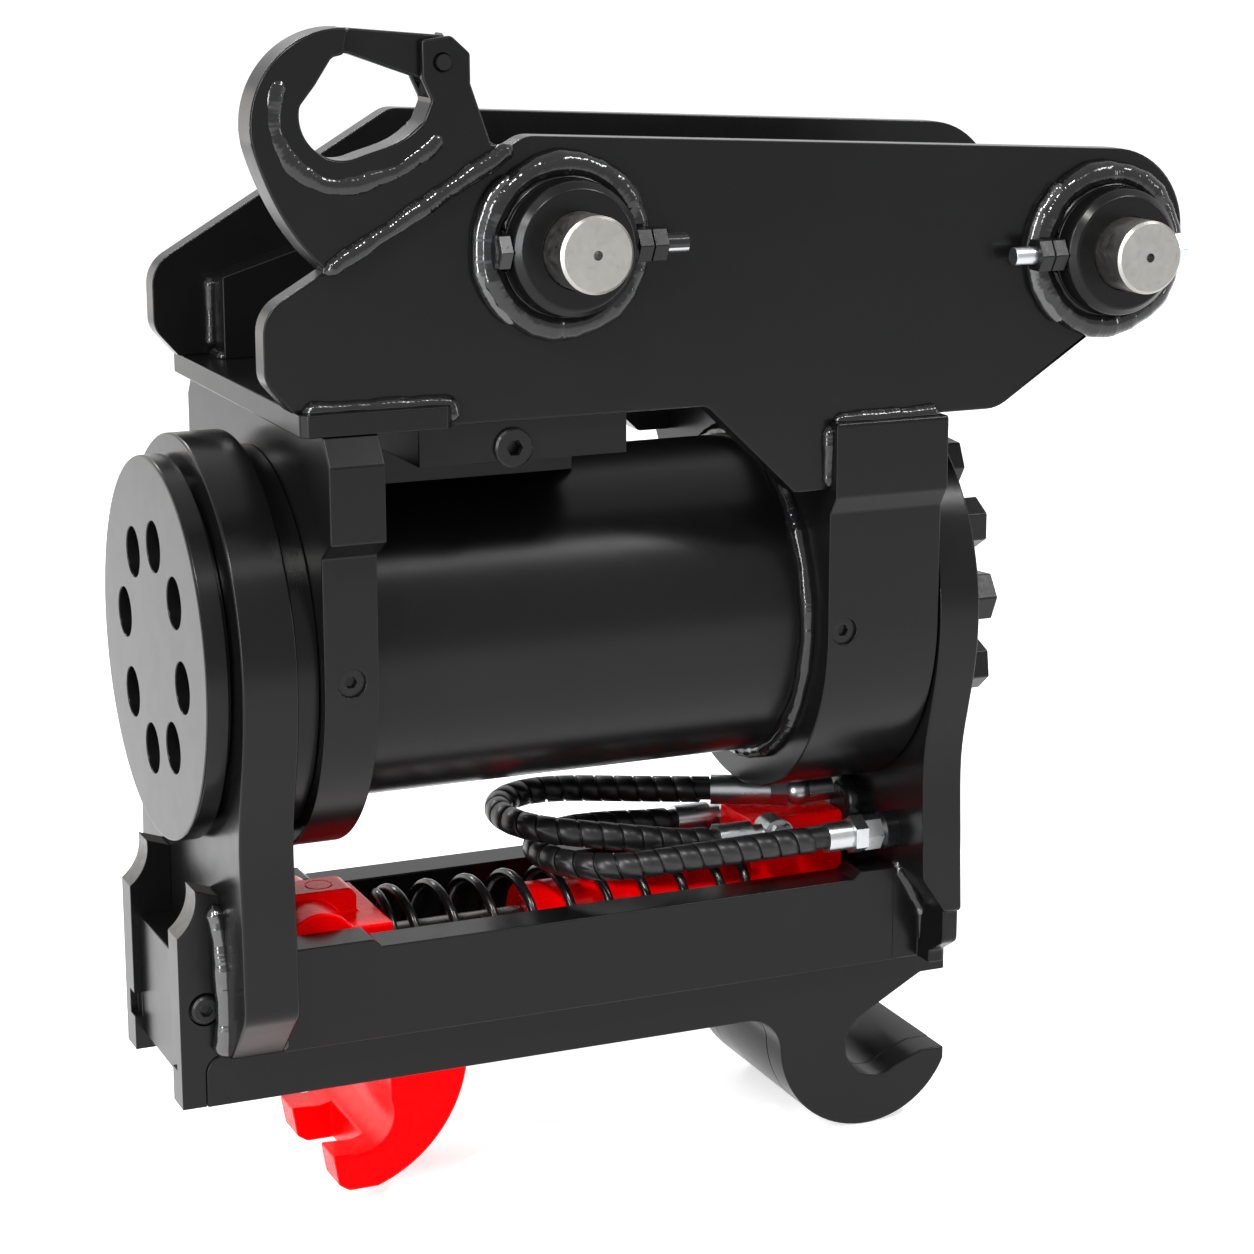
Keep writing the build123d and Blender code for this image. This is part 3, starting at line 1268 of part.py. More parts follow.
with BuildPart() as union_fitting:
    with BuildSketch(station(RIGHT_LEG_X - HEX_L)):
        with Locations((-UNION_Y, UNION_Z)):
            RegularPolygon(FERRULE_R, 6, major_radius=False)
    extrude(amount=-HEX_L)
    with BuildSketch(station(RIGHT_LEG_X - 2 * HEX_L)):
        with Locations((-UNION_Y, UNION_Z)):
            RegularPolygon(FERRULE_R * 1.1, 6, rotation=30, major_radius=False)
    extrude(amount=-HEX_L * 0.8)
    with BuildSketch(station(UNION_HOSE_X)):
        with Locations((-UNION_Y, UNION_Z)):
            Circle(FERRULE_R * 0.95)
    extrude(amount=RIGHT_LEG_X - 2.8 * HEX_L - UNION_HOSE_X)
keep(union_fitting.part, "union_fitting")


def banjo(face_y, outward, z):
    """Banjo ring on the cylinder block's side, with its stem and ferrule towards the hose."""
    ring_y = face_y + outward * BANJO_W / 2
    with BuildPart() as fitting:
        with BuildSketch(side(face_y)):
            with Locations((BANJO_X, z)):
                Circle(BANJO_R)
                Circle(BANJO_BOLT_R, mode=Mode.SUBTRACT)
        extrude(amount=-outward * BANJO_W)
        with BuildSketch(station(HOSE_END_X)):
            with Locations((ring_y, z)):
                Circle(FERRULE_R * 0.95)
        extrude(amount=BANJO_X - BANJO_R - BANJO_STEM - HOSE_END_X)
        with BuildSketch(station(BANJO_X - BANJO_R - BANJO_STEM)):
            with Locations((ring_y, z)):
                Circle(BANJO_R * 0.6)
        extrude(amount=BANJO_STEM + BANJO_R - BANJO_BOLT_R - 1)
    return fitting.part


keep(banjo(-CYL_BLOCK_HALF, -1, NEAR_BANJO_Z), "near_banjo")
keep(banjo(CYL_BLOCK_HALF, 1, FAR_BANJO_Z), "far_banjo")

with BuildPart() as banjo_bolts:
    for outward, z in ((-1, NEAR_BANJO_Z), (1, FAR_BANJO_Z)):
        with BuildSketch(side(outward * CYL_BLOCK_HALF)):
            with Locations((BANJO_X, z)):
                Circle(BANJO_BOLT_R)
        extrude(amount=-outward * BANJO_W)
        with BuildSketch(side(outward * (CYL_BLOCK_HALF + BANJO_W))):
            with Locations((BANJO_X, z)):
                RegularPolygon(BANJO_R * 0.8, 6, major_radius=False)
        extrude(amount=-outward * BANJO_STEM)
keep(banjo_bolts.part, "banjo_bolts")

os.makedirs("parts", exist_ok=True)
for node in nodes:
    export_step(node, "parts/" + node.label + ".step")
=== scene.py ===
import bpy
import json
import math
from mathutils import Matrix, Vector


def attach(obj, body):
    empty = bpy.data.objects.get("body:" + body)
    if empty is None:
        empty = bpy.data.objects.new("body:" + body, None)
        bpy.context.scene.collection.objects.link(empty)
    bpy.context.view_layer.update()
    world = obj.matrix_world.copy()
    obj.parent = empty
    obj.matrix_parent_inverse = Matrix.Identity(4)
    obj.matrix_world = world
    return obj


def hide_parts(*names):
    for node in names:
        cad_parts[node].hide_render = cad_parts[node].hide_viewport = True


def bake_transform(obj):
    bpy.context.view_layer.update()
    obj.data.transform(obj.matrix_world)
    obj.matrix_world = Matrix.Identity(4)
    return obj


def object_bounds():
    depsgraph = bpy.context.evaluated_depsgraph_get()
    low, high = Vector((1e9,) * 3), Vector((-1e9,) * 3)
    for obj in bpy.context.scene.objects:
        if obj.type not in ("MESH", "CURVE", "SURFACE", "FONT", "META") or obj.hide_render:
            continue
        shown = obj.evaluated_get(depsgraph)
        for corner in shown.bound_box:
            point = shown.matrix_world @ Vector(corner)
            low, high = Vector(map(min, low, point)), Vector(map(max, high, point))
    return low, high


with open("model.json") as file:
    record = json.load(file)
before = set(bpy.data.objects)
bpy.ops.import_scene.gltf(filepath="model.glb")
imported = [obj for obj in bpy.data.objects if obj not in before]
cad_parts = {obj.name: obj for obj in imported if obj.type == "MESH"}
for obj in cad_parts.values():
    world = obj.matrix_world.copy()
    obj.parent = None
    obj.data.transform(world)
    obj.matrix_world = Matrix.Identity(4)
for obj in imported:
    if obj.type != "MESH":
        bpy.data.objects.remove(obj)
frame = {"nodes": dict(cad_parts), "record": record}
cad_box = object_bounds()
nodes = frame["nodes"]
scene = bpy.context.scene

# Places are given by station in mm: x counts from the end disc's face, y from the middle plane and
# z from the tilt axis. The row frame's origin is the arm pin's centre.
LINK_X, LINK_Z = 194.0, 221.0
ARM_X, ARM_Z = 520.0, 204.0
SIDES = ((-1, "near"), (1, "far"))


def at(x, y, z):
    """A point given by station in mm, as metres in the row frame."""
    return Vector(((x - ARM_X) / 1000, y / 1000, (z - ARM_Z) / 1000))


# ---------------------------------------------------------------- camera, fitted to the photograph
CAMERA_PLACE = (-0.9351, -1.6051, 0.2047)
LENS, SENSOR = 89.55, 36
LOOK_DOWN, ROLL, HEADING = 13.621, 0.05, -23.416

cam_data = bpy.data.cameras.new("camera")
cam_data.lens = LENS
cam_data.sensor_width = SENSOR
cam_data.clip_start, cam_data.clip_end = 0.05, 200
cam = bpy.data.objects.new("camera", cam_data)
cam.location = CAMERA_PLACE
cam.rotation_euler = (math.radians(90 - LOOK_DOWN), math.radians(ROLL), math.radians(HEADING))
scene.collection.objects.link(cam)
scene.camera = cam
scene.view_settings.view_transform = "Standard"

# ---------------------------------------------------------------- materials
BUMP_HEIGHT = 0.0004      # metres, at a bump strength of 1


def noise(tree, place, scale, detail):
    """Noise texture over a set of coordinates."""
    node = tree.nodes.new("ShaderNodeTexNoise")
    node.inputs["Scale"].default_value = scale
    node.inputs["Detail"].default_value = detail
    tree.links.new(place, node.inputs["Vector"])
    return node


def material(name, color, rough, metal=0.0, tint=(1, 1, 1), spec=0.5, vary=0.25,
             rough_vary=0.06, grain=350.0, bump=0.05, blotch=14.0, turned=None):
    """Principled paint or metal: colour and roughness drift over the surface, with a fine grain.

    blotch and grain are noise scales per metre. turned gives the grain a scale for each axis, which
    draws it out into the marks that a lathe leaves.
    """
    m = bpy.data.materials.new(name)
    m.use_nodes = True
    tree = m.node_tree
    shader = tree.nodes["Principled BSDF"]
    shader.inputs["Metallic"].default_value = metal
    shader.inputs["Specular Tint"].default_value = (*tint, 1)
    shader.inputs["Specular IOR Level"].default_value = spec
    place = tree.nodes.new("ShaderNodeTexCoord").outputs["Object"]

    patches = noise(tree, place, blotch, 6)
    patches.inputs["Roughness"].default_value = 0.6
    mix = tree.nodes.new("ShaderNodeMix")
    mix.data_type = "RGBA"
    mix.inputs["A"].default_value = [c * (1 - vary) for c in color] + [1]
    mix.inputs["B"].default_value = [min(1, c * (1 + vary)) for c in color] + [1]
    tree.links.new(patches.outputs["Fac"], mix.inputs["Factor"])
    tree.links.new(mix.outputs["Result"], shader.inputs["Base Color"])

    sheen = tree.nodes.new("ShaderNodeMapRange")
    for socket, value in (("From Min", 0.3), ("From Max", 0.7),
                          ("To Min", rough - rough_vary), ("To Max", rough + rough_vary)):
        sheen.inputs[socket].default_value = value
    tree.links.new(noise(tree, place, blotch * 5, 8).outputs["Fac"], sheen.inputs["Value"])
    tree.links.new(sheen.outputs["Result"], shader.inputs["Roughness"])

    if turned:
        stretch = tree.nodes.new("ShaderNodeMapping")
        stretch.inputs["Scale"].default_value = turned
        tree.links.new(place, stretch.inputs["Vector"])
        fine = noise(tree, stretch.outputs["Vector"], 1.0, 3)
    else:
        fine = noise(tree, place, grain, 3)
    relief = tree.nodes.new("ShaderNodeBump")
    relief.inputs["Strength"].default_value = bump
    relief.inputs["Distance"].default_value = BUMP_HEIGHT
    tree.links.new(fine.outputs["Fac"], relief.inputs["Height"])
    tree.links.new(relief.outputs["Normal"], shader.inputs["Normal"])
    return m


MAT = {
    "black_paint": material("black_paint", (0.003, 0.003, 0.0031), 0.24, spec=0.165, bump=0.05,
                            grain=420, rough_vary=0.02),
    "black_machined": material("black_machined", (0.003, 0.003, 0.0031), 0.25, spec=0.165,
                               bump=0.03, grain=700, rough_vary=0.015),
    "red_paint": material("red_paint", (0.93, 0.0, 0.001), 0.26, tint=(1, 0.05, 0.05), spec=0.25,
                          vary=0.04, bump=0.10, grain=260, blotch=30),
    "pin_steel": material("pin_steel", (0.29, 0.28, 0.262), 0.34, metal=1.0, vary=0.14, bump=0.2,
                          turned=(60, 3200, 60), rough_vary=0.07, blotch=60),
    "zinc": material("zinc", (0.42, 0.43, 0.44), 0.30, metal=1.0, vary=0.22, bump=0.02, grain=500,
                     blotch=70, rough_vary=0.03),
    "black_steel": material("black_steel", (0.004, 0.004, 0.0043), 0.30, spec=0.2, bump=0.06,
                            grain=900, blotch=60),
    "bare_steel": material("bare_steel", (0.16, 0.157, 0.15), 0.30, metal=1.0, vary=0.16, bump=0.1,
                           turned=(60, 3000, 60), blotch=60),
    "bronze": material("bronze", (0.55, 0.36, 0.14), 0.35, metal=1.0, vary=0.1, blotch=50),
    "spring_black": material("spring_black", (0.006, 0.006, 0.0065), 0.22, spec=0.35, bump=0.05,
                             grain=900, blotch=60),
    "hose_black": material("hose_black", (0.006, 0.006, 0.006), 0.45, spec=0.25, bump=0.15,
                           grain=1600, blotch=60),
}
WELD = material("weld_black", (0.005, 0.005, 0.0055), 0.12, spec=0.38, bump=0.7, grain=150,
                rough_vary=0.03, blotch=60)
# A lighter, more reflective copy of the weld finish: a painted highlight for the beads that show
# white streaks
WELD_PAINTED_HIGHLIGHT = material("weld_painted_highlight", (0.006, 0.006, 0.0065), 0.15, spec=1.0, bump=0.9, grain=110,
                    rough_vary=0.04, blotch=60)
GUARD = material("hose_guard", (0.007, 0.007, 0.0075), 0.36, spec=0.30, bump=0.02, grain=900,
                 rough_vary=0.02, blotch=50)
HOLLOW = material("hollow_steel", (0.085, 0.083, 0.08), 0.40, metal=1.0, vary=0.25, bump=0.15,
                  turned=(60, 2200, 60), blotch=60)

# ---------------------------------------------------------------- CAD pieces
# How far each piece's edges are rounded, in mm. A wider bevel crosses itself in the slim corners of
# the cheeks and forks.
BEVELS = {"cheek_near": 0.7, "cheek_far": 0.7, "base_plate": 1.0, "inner_ribs": 0.8,
          "port_block": 0.8, "left_flange": 1.0, "right_flange": 1.0, "left_leg": 1.6,
          "right_leg": 1.4, "rail_near": 0.9, "rail_far": 0.9, "hook_plate_near": 1.0,
          "hook_plate_far": 1.0, "jaw_block": 0.5, "fork_plates": 0.45, "fork_spacer": 0.8,
          "lifting_hook": 1.5, "safety_latch": 1.2, "locking_hook": 1.6, "cylinder_block": 1.0,
          "end_disc": 0.7, "thrust_ring": 0.8, "drive_hub": 0.8, "leg_bolts": 0.9,
          "retaining_nuts": 0.6, "retaining_bolts": 0.4, "cylinder_barrel": 0.8,
          "link_pin_bosses": 1.0, "arm_pin_bosses": 1.0, "cylinder_gland": 0.6,
          "fork_screws": 0.4}
BEVEL_STEPS = {"lifting_hook": 3, "left_leg": 3}
USUAL_BEVEL_STEPS = 2
CREASE = math.radians(28)             # faces that meet at more than this have an edge between them
FLAT = math.radians(0.3)              # faces that meet at less than this are one face
JOIN = 0.00001                        # metres between vertices that are one vertex
KEY_DIGITS = 6                        # an edge is known by its place to a micrometre


def crease(me):
    """Mark a CAD mesh's true edges as sharp.

    Each of its faces has vertices of its own, so the two sides of an edge are found by place.
    """
    if "custom_normal" in me.attributes:
        me.attributes.remove(me.attributes["custom_normal"])
    by_edge = {}
    for face in me.polygons:
        for i, j in face.edge_keys:
            a, b = me.vertices[i].co, me.vertices[j].co
            mid = (a + b) / 2
            key = tuple(round(v, KEY_DIGITS) for v in (*mid, (a - b).length))
            by_edge.setdefault(key, []).append(((i, j), face.normal.copy()))
    edge_at = {tuple(sorted(e.vertices)): e for e in me.edges}
    limit = math.cos(CREASE)
    for pair in by_edge.values():
        sharp = len(pair) != 2 or pair[0][1].dot(pair[1][1]) < limit
        for ends, _ in pair:
            edge_at[tuple(sorted(ends))].use_edge_sharp = sharp


def round_edges(obj, width, steps):
    """Round a CAD piece's edges by modifiers, which leave its mesh as it is."""
    crease(obj.data)
    join = obj.modifiers.new("join", "WELD")
    join.merge_threshold = JOIN
    flat = obj.modifiers.new("flat", "DECIMATE")
    flat.decimate_type = "DISSOLVE"
    flat.angle_limit = FLAT
    edge = obj.modifiers.new("edge", "BEVEL")
    edge.width = width / 1000
    edge.segments = steps
    edge.limit_method = "ANGLE"
    edge.angle_limit = CREASE
    edge.harden_normals = True
    edge.use_clamp_overlap = False


def refinish(name, mat, test):
    """Give another finish to a piece's faces whose centre, by station, and normal pass a test."""
    me = nodes[name].data
    me.materials.append(mat)
    to_world = nodes[name].matrix_world
    turn = to_world.to_3x3()
    for face in me.polygons:
        c = to_world @ face.center
        normal = (turn @ face.normal).normalized()
        if test(c.x * 1000 + ARM_X, c.y * 1000, c.z * 1000 + ARM_Z, normal):
            face.material_index = len(me.materials) - 1


slot_of = {s["node"]: s["material_slot"] for s in frame["record"]["subparts"]}
for name, obj in nodes.items():
    obj.data.materials.clear()
    obj.data.materials.append(MAT[slot_of[name]])
    obj.data.shade_smooth()
    if name in BEVELS:
        round_edges(obj, BEVELS[name], BEVEL_STEPS.get(name, USUAL_BEVEL_STEPS))

# The rod pin's top is painted red with the hook, the link pin's bolts are painted over on the left
# of the pin, and the forks' hollows are bare from machining.
ROD_PIN_PAINT_Z = -170
HOLLOW_FRONT_X, HOLLOW_BOTTOM_Z, HOLLOW_TOP_Z = 4, -147.5, -119
refinish("rod_pin", MAT["red_paint"], lambda x, y, z, n: z > ROD_PIN_PAINT_Z)
refinish("fork_plates", HOLLOW,
         lambda x, y, z, n: (x < HOLLOW_FRONT_X and HOLLOW_BOTTOM_Z < z < HOLLOW_TOP_Z
                             and n.x < -0.2 and abs(n.y) < 0.3))
refinish("retaining_bolts", WELD, lambda x, y, z, n: x < LINK_X)


# ---------------------------------------------------------------- mesh helpers
def mesh_object(name, verts, faces, mat, body, smooth=True):
    """New mesh piece that rides on a body and takes its finish from a slot."""
    me = bpy.data.meshes.new(name)
    me.from_pydata([tuple(v) for v in verts], [], faces)
    me.validate()
    me.update()
    if smooth:
        me.shade_smooth()
    me.materials.append(mat)
    ob = bpy.data.objects.new(name, me)
    scene.collection.objects.link(ob)
    if body:
        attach(ob, body)
    return ob


def tube_faces(count, side, closed=False):
    """Faces that join count rings of side vertices, with caps unless the tube closes on itself."""
    faces = []
    for i in range(count if closed else count - 1):
        j = (i + 1) % count
        for k in range(side):
            q = (k + 1) % side
            faces.append((i * side + k, i * side + q, j * side + q, j * side + k))
    if not closed:
        faces.append(tuple(reversed(range(side))))
        faces.append(tuple((count - 1) * side + k for k in range(side)))
    return faces


def turned_over(faces):
    """The same faces seen from their other side, each from the same first vertex."""
    return [(f[0],) + f[:0:-1] for f in faces]


def resample(points, step):
    """Points every step metres along a polyline, and its end unless the last is close to it."""
    out = [points[0].copy()]
    left = step
    for a, b in zip(points, points[1:]):
        d = (b - a).length
        if d == 0:
            continue
        pos = 0.0
        while d - pos >= left:
            pos += left
            out.append(a.lerp(b, pos / d))
            left = step
        left -= d - pos
    if (out[-1] - points[-1]).length > step * 0.3:
        out.append(points[-1].copy())
    return out


def soften(points):
    """Cut the corners of a polyline three times, keeping its ends."""
    for _ in range(3):
        cut = [points[0]]
        for a, b in zip(points, points[1:]):
            cut += [a.lerp(b, 0.25), a.lerp(b, 0.75)]
        points = cut + [points[-1]]
    return points


def frames_along(points, closed=False):
    """Tangent, normal and binormal at each point, turned as little as possible."""
    tangents = []
    count = len(points)
    for i in range(count):
        a = points[(i - 1) % count] if closed else points[max(i - 1, 0)]
        b = points[(i + 1) % count] if closed else points[min(i + 1, count - 1)]
        tangents.append((b - a).normalized())
    up = Vector((0, 0, 1)) if abs(tangents[0].z) < 0.9 else Vector((0, 1, 0))
    normal = (up - tangents[0] * up.dot(tangents[0])).normalized()
    result = []
    for t in tangents:
        normal = (normal - t * normal.dot(t)).normalized()
        result.append((t, normal, t.cross(normal)))
    return result


# ---------------------------------------------------------------- hoses
TUBE_R = 6.4
GUARD_INNER, GUARD_OUTER = 6.3, 7.9
GUARD_PITCH, GUARD_WIDTH = 11.6, 10.4
GUARD_LEAD_IN = 0.6                   # mm from the hose's start to the guard's
GUARD_CORNER = 0.35
GUARD_STEP = 0.5                      # mm between the points that the guard follows
GUARD_PER_TURN = 30


def spline(name, points, radius):
    """Round tube along a NURBS curve through its control points."""
    cu = bpy.data.curves.new(name, "CURVE")
    cu.dimensions = "3D"
    sp = cu.splines.new("NURBS")
    sp.points.add(len(points) - 1)
    for q, p in zip(sp.points, points):
        q.co = (*at(*p), 1)
    sp.order_u = 3
    sp.use_endpoint_u = True
    sp.resolution_u = 16
    cu.bevel_depth = radius / 1000
    cu.bevel_resolution = 5
    cu.use_fill_caps = True
    ob = bpy.data.objects.new(name, cu)
    scene.collection.objects.link(ob)
    return ob


def line_of(curve_ob):
    """Points of a curve's own centreline."""
    cu = curve_ob.data.copy()
    cu.bevel_depth = 0
    tmp = bpy.data.objects.new("tmp_line", cu)
    scene.collection.objects.link(tmp)
    bpy.context.view_layer.update()
    me = bpy.data.meshes.new_from_object(tmp)
    pts = [v.co.copy() for v in me.vertices]
    bpy.data.objects.remove(tmp)
    bpy.data.meshes.remove(me)
    return pts


def spiral_guard(name, line, body):
    """Flat plastic ribbon wound round a hose, with a narrow gap between its turns."""
    fine = resample(line, GUARD_STEP / 1000)
    basis = frames_along(fine)
    total = (len(fine) - 1) * GUARD_STEP
    profile = [(0.0, GUARD_INNER), (0.0, GUARD_OUTER - GUARD_CORNER), (GUARD_CORNER, GUARD_OUTER),
               (GUARD_WIDTH - GUARD_CORNER, GUARD_OUTER), (GUARD_WIDTH, GUARD_OUTER - GUARD_CORNER),
               (GUARD_WIDTH, GUARD_INNER)]
    steps = int((total - GUARD_LEAD_IN - GUARD_WIDTH) / GUARD_PITCH * GUARD_PER_TURN)
    verts = []
    for i in range(steps + 1):
        turn = i / GUARD_PER_TURN
        a = 2 * math.pi * turn
        base = GUARD_LEAD_IN + turn * GUARD_PITCH
        for along, r in profile:
            s = min(max((base + along) / GUARD_STEP, 0), len(fine) - 1.001)
            k = int(s)
            p = fine[k].lerp(fine[k + 1], s - k)
            _, nrm, bi = basis[k]
            verts.append(p + (nrm * math.cos(a) + bi * math.sin(a)) * (r / 1000))
    faces = turned_over(tube_faces(steps + 1, len(profile)))
    ob = mesh_object(name, verts, faces, GUARD, body)
    ob.data.set_sharp_from_angle(angle=math.radians(50))
    return ob


elbow_route = [
    (343, 20.6, -125.8),
    (300, 41.4, -126),
    (252, 65, -126),
    (221, 55, -126.2),
    (208, 28, -126.4),
    (214, -4, -126.6),
    (240, -24, -128),
    (280, -31, -134.5),
    (306, -30, -140),
    (323, -30, -140),
]
union_route = [
    (377, -63, -136.5),
    (337, -63, -136.5),
    (291, -57, -139.5),
    (250, -50, -142.5),
    (224, -22, -143.8),
    (224, 16, -144.3),
    (252, 40, -145),
    (284, 40, -145.4),
    (308, 30, -145),
    (323, 30, -145),
]
for label, route in (("elbow_hose", elbow_route), ("union_hose", union_route)):
    tube = spline(label + "_tube", route, TUBE_R)
    tube.data.materials.append(MAT["hose_black"])
    line = line_of(tube)
    guard = spiral_guard(label + "_guard", line, "tilt_frame")
    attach(tube, "tilt_frame")
    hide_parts(label)

# ---------------------------------------------------------------- return spring
WIRE = 2.8                            # radius of the wire
SPRING_R = 33.5 - WIRE                # to the middle of the wire
SPRING_Z = -186
SEAT_GAP = 0.4                        # from the spring's ends to the hook and the cylinder's block
SPRING_X0, SPRING_X1 = 121 + SEAT_GAP + WIRE, 350 - SEAT_GAP - WIRE
COILS, CLOSING = 9.0, 0.75            # working turns, and the closed turns at each end
CLOSED_PITCH = 2 * WIRE + 0.3
SPRING_STEPS, WIRE_SIDES = 620, 12


def spring_x(turns):
    """Station of the wire after a number of turns: close together at both ends, even between."""
    if turns < CLOSING:
        return SPRING_X0 + CLOSED_PITCH * turns
    if turns > COILS + CLOSING:
        return SPRING_X1 - CLOSED_PITCH * (COILS + 2 * CLOSING - turns)
    working = SPRING_X1 - SPRING_X0 - 2 * CLOSED_PITCH * CLOSING
    return SPRING_X0 + CLOSED_PITCH * CLOSING + working * (turns - CLOSING) / COILS


verts = []
along = Vector((1, 0, 0))
for i in range(SPRING_STEPS + 1):
    turns = (COILS + 2 * CLOSING) * (i / SPRING_STEPS)
    a = 2 * math.pi * turns
    outward = Vector((0, -math.sin(a), math.cos(a)))
    centre = at(spring_x(turns), -SPRING_R * math.sin(a), SPRING_Z + SPRING_R * math.cos(a))
    for k in range(WIRE_SIDES):
        b = 2 * math.pi * k / WIRE_SIDES
        verts.append(centre + (outward * math.cos(b) + along * math.sin(b)) * (WIRE / 1000))
coil = mesh_object("spring_coil", verts, tube_faces(SPRING_STEPS + 1, WIRE_SIDES),
                   MAT["spring_black"], None)
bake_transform(coil)
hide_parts("return_spring")

# ---------------------------------------------------------------- welds
BEAD_STEP = 0.7                       # mm between a bead's rings
BEAD_SIDES = 12
RIPPLE_PITCH, RIPPLE_DEPTH = 2.6, 0.05
RIPPLE_DRIFT, SWELL, LEAN = 0.15, 0.16, 0.4
RING_STEP = 4.0                       # degrees


def wobble(i, seed):
    """Small repeatable drift for a hand-laid bead."""
    return (math.sin(i * 0.37 + seed * 1.7) * 0.5 + math.sin(i * 0.113 + seed * 0.9) * 0.35
            + math.sin(i * 1.31 + seed) * 0.15)


def weld(name, points, radius, body, closed=False, seed=1.0, mat=WELD):
    """Weld bead: a run of overlapping ripples laid along a seam, with rounded ends."""
    path = [at(*p) for p in points]
    line = resample(path if closed else soften(path), BEAD_STEP / 1000)
    if closed and (line[0] - line[-1]).length < 0.0006:
        line.pop()
    verts = []
    count = len(line)
    for i, (p, (_, nrm, bi)) in enumerate(zip(line, frames_along(line, closed))):
        phase = (i * BEAD_STEP / RIPPLE_PITCH + RIPPLE_DRIFT * wobble(i, seed)) % 1.0
        ripple = 1 - RIPPLE_DEPTH / radius * (1 - math.cos(2 * math.pi * phase))
        size = radius / 1000 * ripple * (1 + SWELL * wobble(i * 0.3, seed + 2))
        if not closed:
            from_end = min(i, count - 1 - i) * BEAD_STEP / (radius * 0.9)
            size *= math.sqrt(max(0.02, min(1.0, from_end)))
        lean = LEAN / 1000 * wobble(i * 0.6, seed + 5)
        for k in range(BEAD_SIDES):
            a = 2 * math.pi * k / BEAD_SIDES
            verts.append(p + nrm * (math.cos(a) * size + lean) + bi * (math.sin(a) * size))
    return mesh_object(name, verts, tube_faces(count, BEAD_SIDES, closed), mat, body)


def ring(x, y, z, r, axis, start=0.0, end=360.0):
    """Points round a circle about the width axis ('y') or the tilt axis ('x')."""
    pts = []
    count = max(4, int(abs(end - start) / RING_STEP))
    for i in range(count + 1):
        a = math.radians(start + (end - start) * i / count)
        if axis == "y":
            pts.append((x + r * math.cos(a), y, z + r * math.sin(a)))
        else:
            pts.append((x, y + r * math.cos(a), z + r * math.sin(a)))
    return pts


# Round each boss: the bead at its foot, and a run on the side that faces the camera in the brighter
# weld finish, a painted highlight
FOOT_Y, FOOT_R, FOOT_BEAD = 115.5, 41.6, 7.6
RUN_Y, RUN_R, RUN_BEAD = 116, 46.5, 4.6
RUN_START, RUN_END = 128, 236
for tag, px, pz in (("link", LINK_X, LINK_Z), ("arm", ARM_X, ARM_Z)):
    for sgn, where in SIDES:
        weld(f"weld_{tag}_foot_{where}", ring(px, sgn * FOOT_Y, pz, FOOT_R, "y")[:-1], FOOT_BEAD,
             "head", closed=True, seed=px * 0.1 + sgn)
        weld(f"weld_{tag}_run_{where}", ring(px, sgn * RUN_Y, pz, RUN_R, "y", RUN_START, RUN_END),
             RUN_BEAD, "head", seed=px * 0.2 + sgn, mat=WELD_PAINTED_HIGHLIGHT)

# Seams on both sides: name, body, the bead's radius, seed and finish, and its path on the far side
SEAMS = (
    ("base", "head", 4.8, 3, WELD,
     [(52, 113.8, 143.6), (129, 113.8, 143.6), (131.5, 113.8, 141), (131.5, 113.8, 133)]),
    ("block_top", "head", 4.6, 5, WELD, [(353, 114, 118.6), (418, 114, 118.6)]),
    ("block_side", "head", 4.2, 7, WELD, [(350.6, 113.5, 116), (350.6, 113.5, 82)]),
    ("rib", "head", 4.2, 9, WELD, [(66.5, 98.6, 146), (66.5, 98.6, 187)]),
    ("rib_foot", "head", 3.8, 10, WELD, [(66.8, 76, 143.8), (66.8, 97, 143.8)]),
    # The fork, rail top and rail end beads take the brighter weld finish, a painted highlight
    ("fork", "tilt_frame", 6.0, 11, WELD_PAINTED_HIGHLIGHT,
     [(12.5, 59, -129), (15.5, 62.5, -150), (16.5, 64, -180), (16.5, 63.5, -203), (15, 60, -216)]),
    ("rail_right", "tilt_frame", 3.8, 13, WELD,
     [(421, 70.6, -157), (429, 71, -169.5), (437, 71, -182.5), (439, 70.8, -196),
      (439, 70.4, -206)]),
    ("rail_top", "tilt_frame", 4.6, 17, WELD_PAINTED_HIGHLIGHT, [(419, 69, -155.5), (424, 70, -156.5)]),
    ("rail_end", "tilt_frame", 4.8, 19, WELD_PAINTED_HIGHLIGHT, [(434, 71, -182), (441, 71.4, -189)]),
    ("rail_left", "tilt_frame", 2.6, 15, WELD, [(46.6, 70.4, -159), (46.6, 70.4, -213)]),
)
# Weld metal that fills the corner between each rail's end and the right leg
FILL_EDGE = [(419.2, -156.4), (424, -158), (438, -181), (438, -213.6), (419.2, -213.6)]
FILL_INNER, FILL_OUTER = 67.0, 70.3
for sgn, where in SIDES:
    for seam, body, radius, seed, finish, path in SEAMS:
        weld(f"weld_{seam}_{where}", [(x, sgn * y, z) for x, y, z in path], radius, body,
             seed=seed + sgn, mat=finish)
    corners = len(FILL_EDGE)
    shape = [at(x, sgn * y, z) for y in (FILL_INNER, FILL_OUTER) for x, z in FILL_EDGE]
    walls = [(i, (i + 1) % corners, corners + (i + 1) % corners, corners + i)
             for i in range(corners)]
    caps = [tuple(reversed(range(corners))), tuple(range(corners, 2 * corners))]
    skin = walls + caps if sgn > 0 else turned_over(walls + caps)
    mesh_object(f"weld_fill_{where}", shape, skin, MAT["black_paint"], "tilt_frame",
                smooth=False)

weld("weld_tube_right", ring(349.5, 0, 0, 93.5, "x")[:-1], 5.0, "head", closed=True, seed=21)
weld("weld_tube_left", ring(91, 0, 0, 92.6, "x")[:-1], 2.2, "head", closed=True, seed=22)

# Along the lifting hook's foot on the cheek's slope
SLOPE = math.tan(math.radians(30.4))
SLOPE_X, SLOPE_Z = 33, 194.5
weld("weld_lift_near", [(x, -117.2, SLOPE_Z + (x - SLOPE_X) * SLOPE + 0.5)
                        for x in range(64, 167, 6)], 5.0, "head", seed=23)
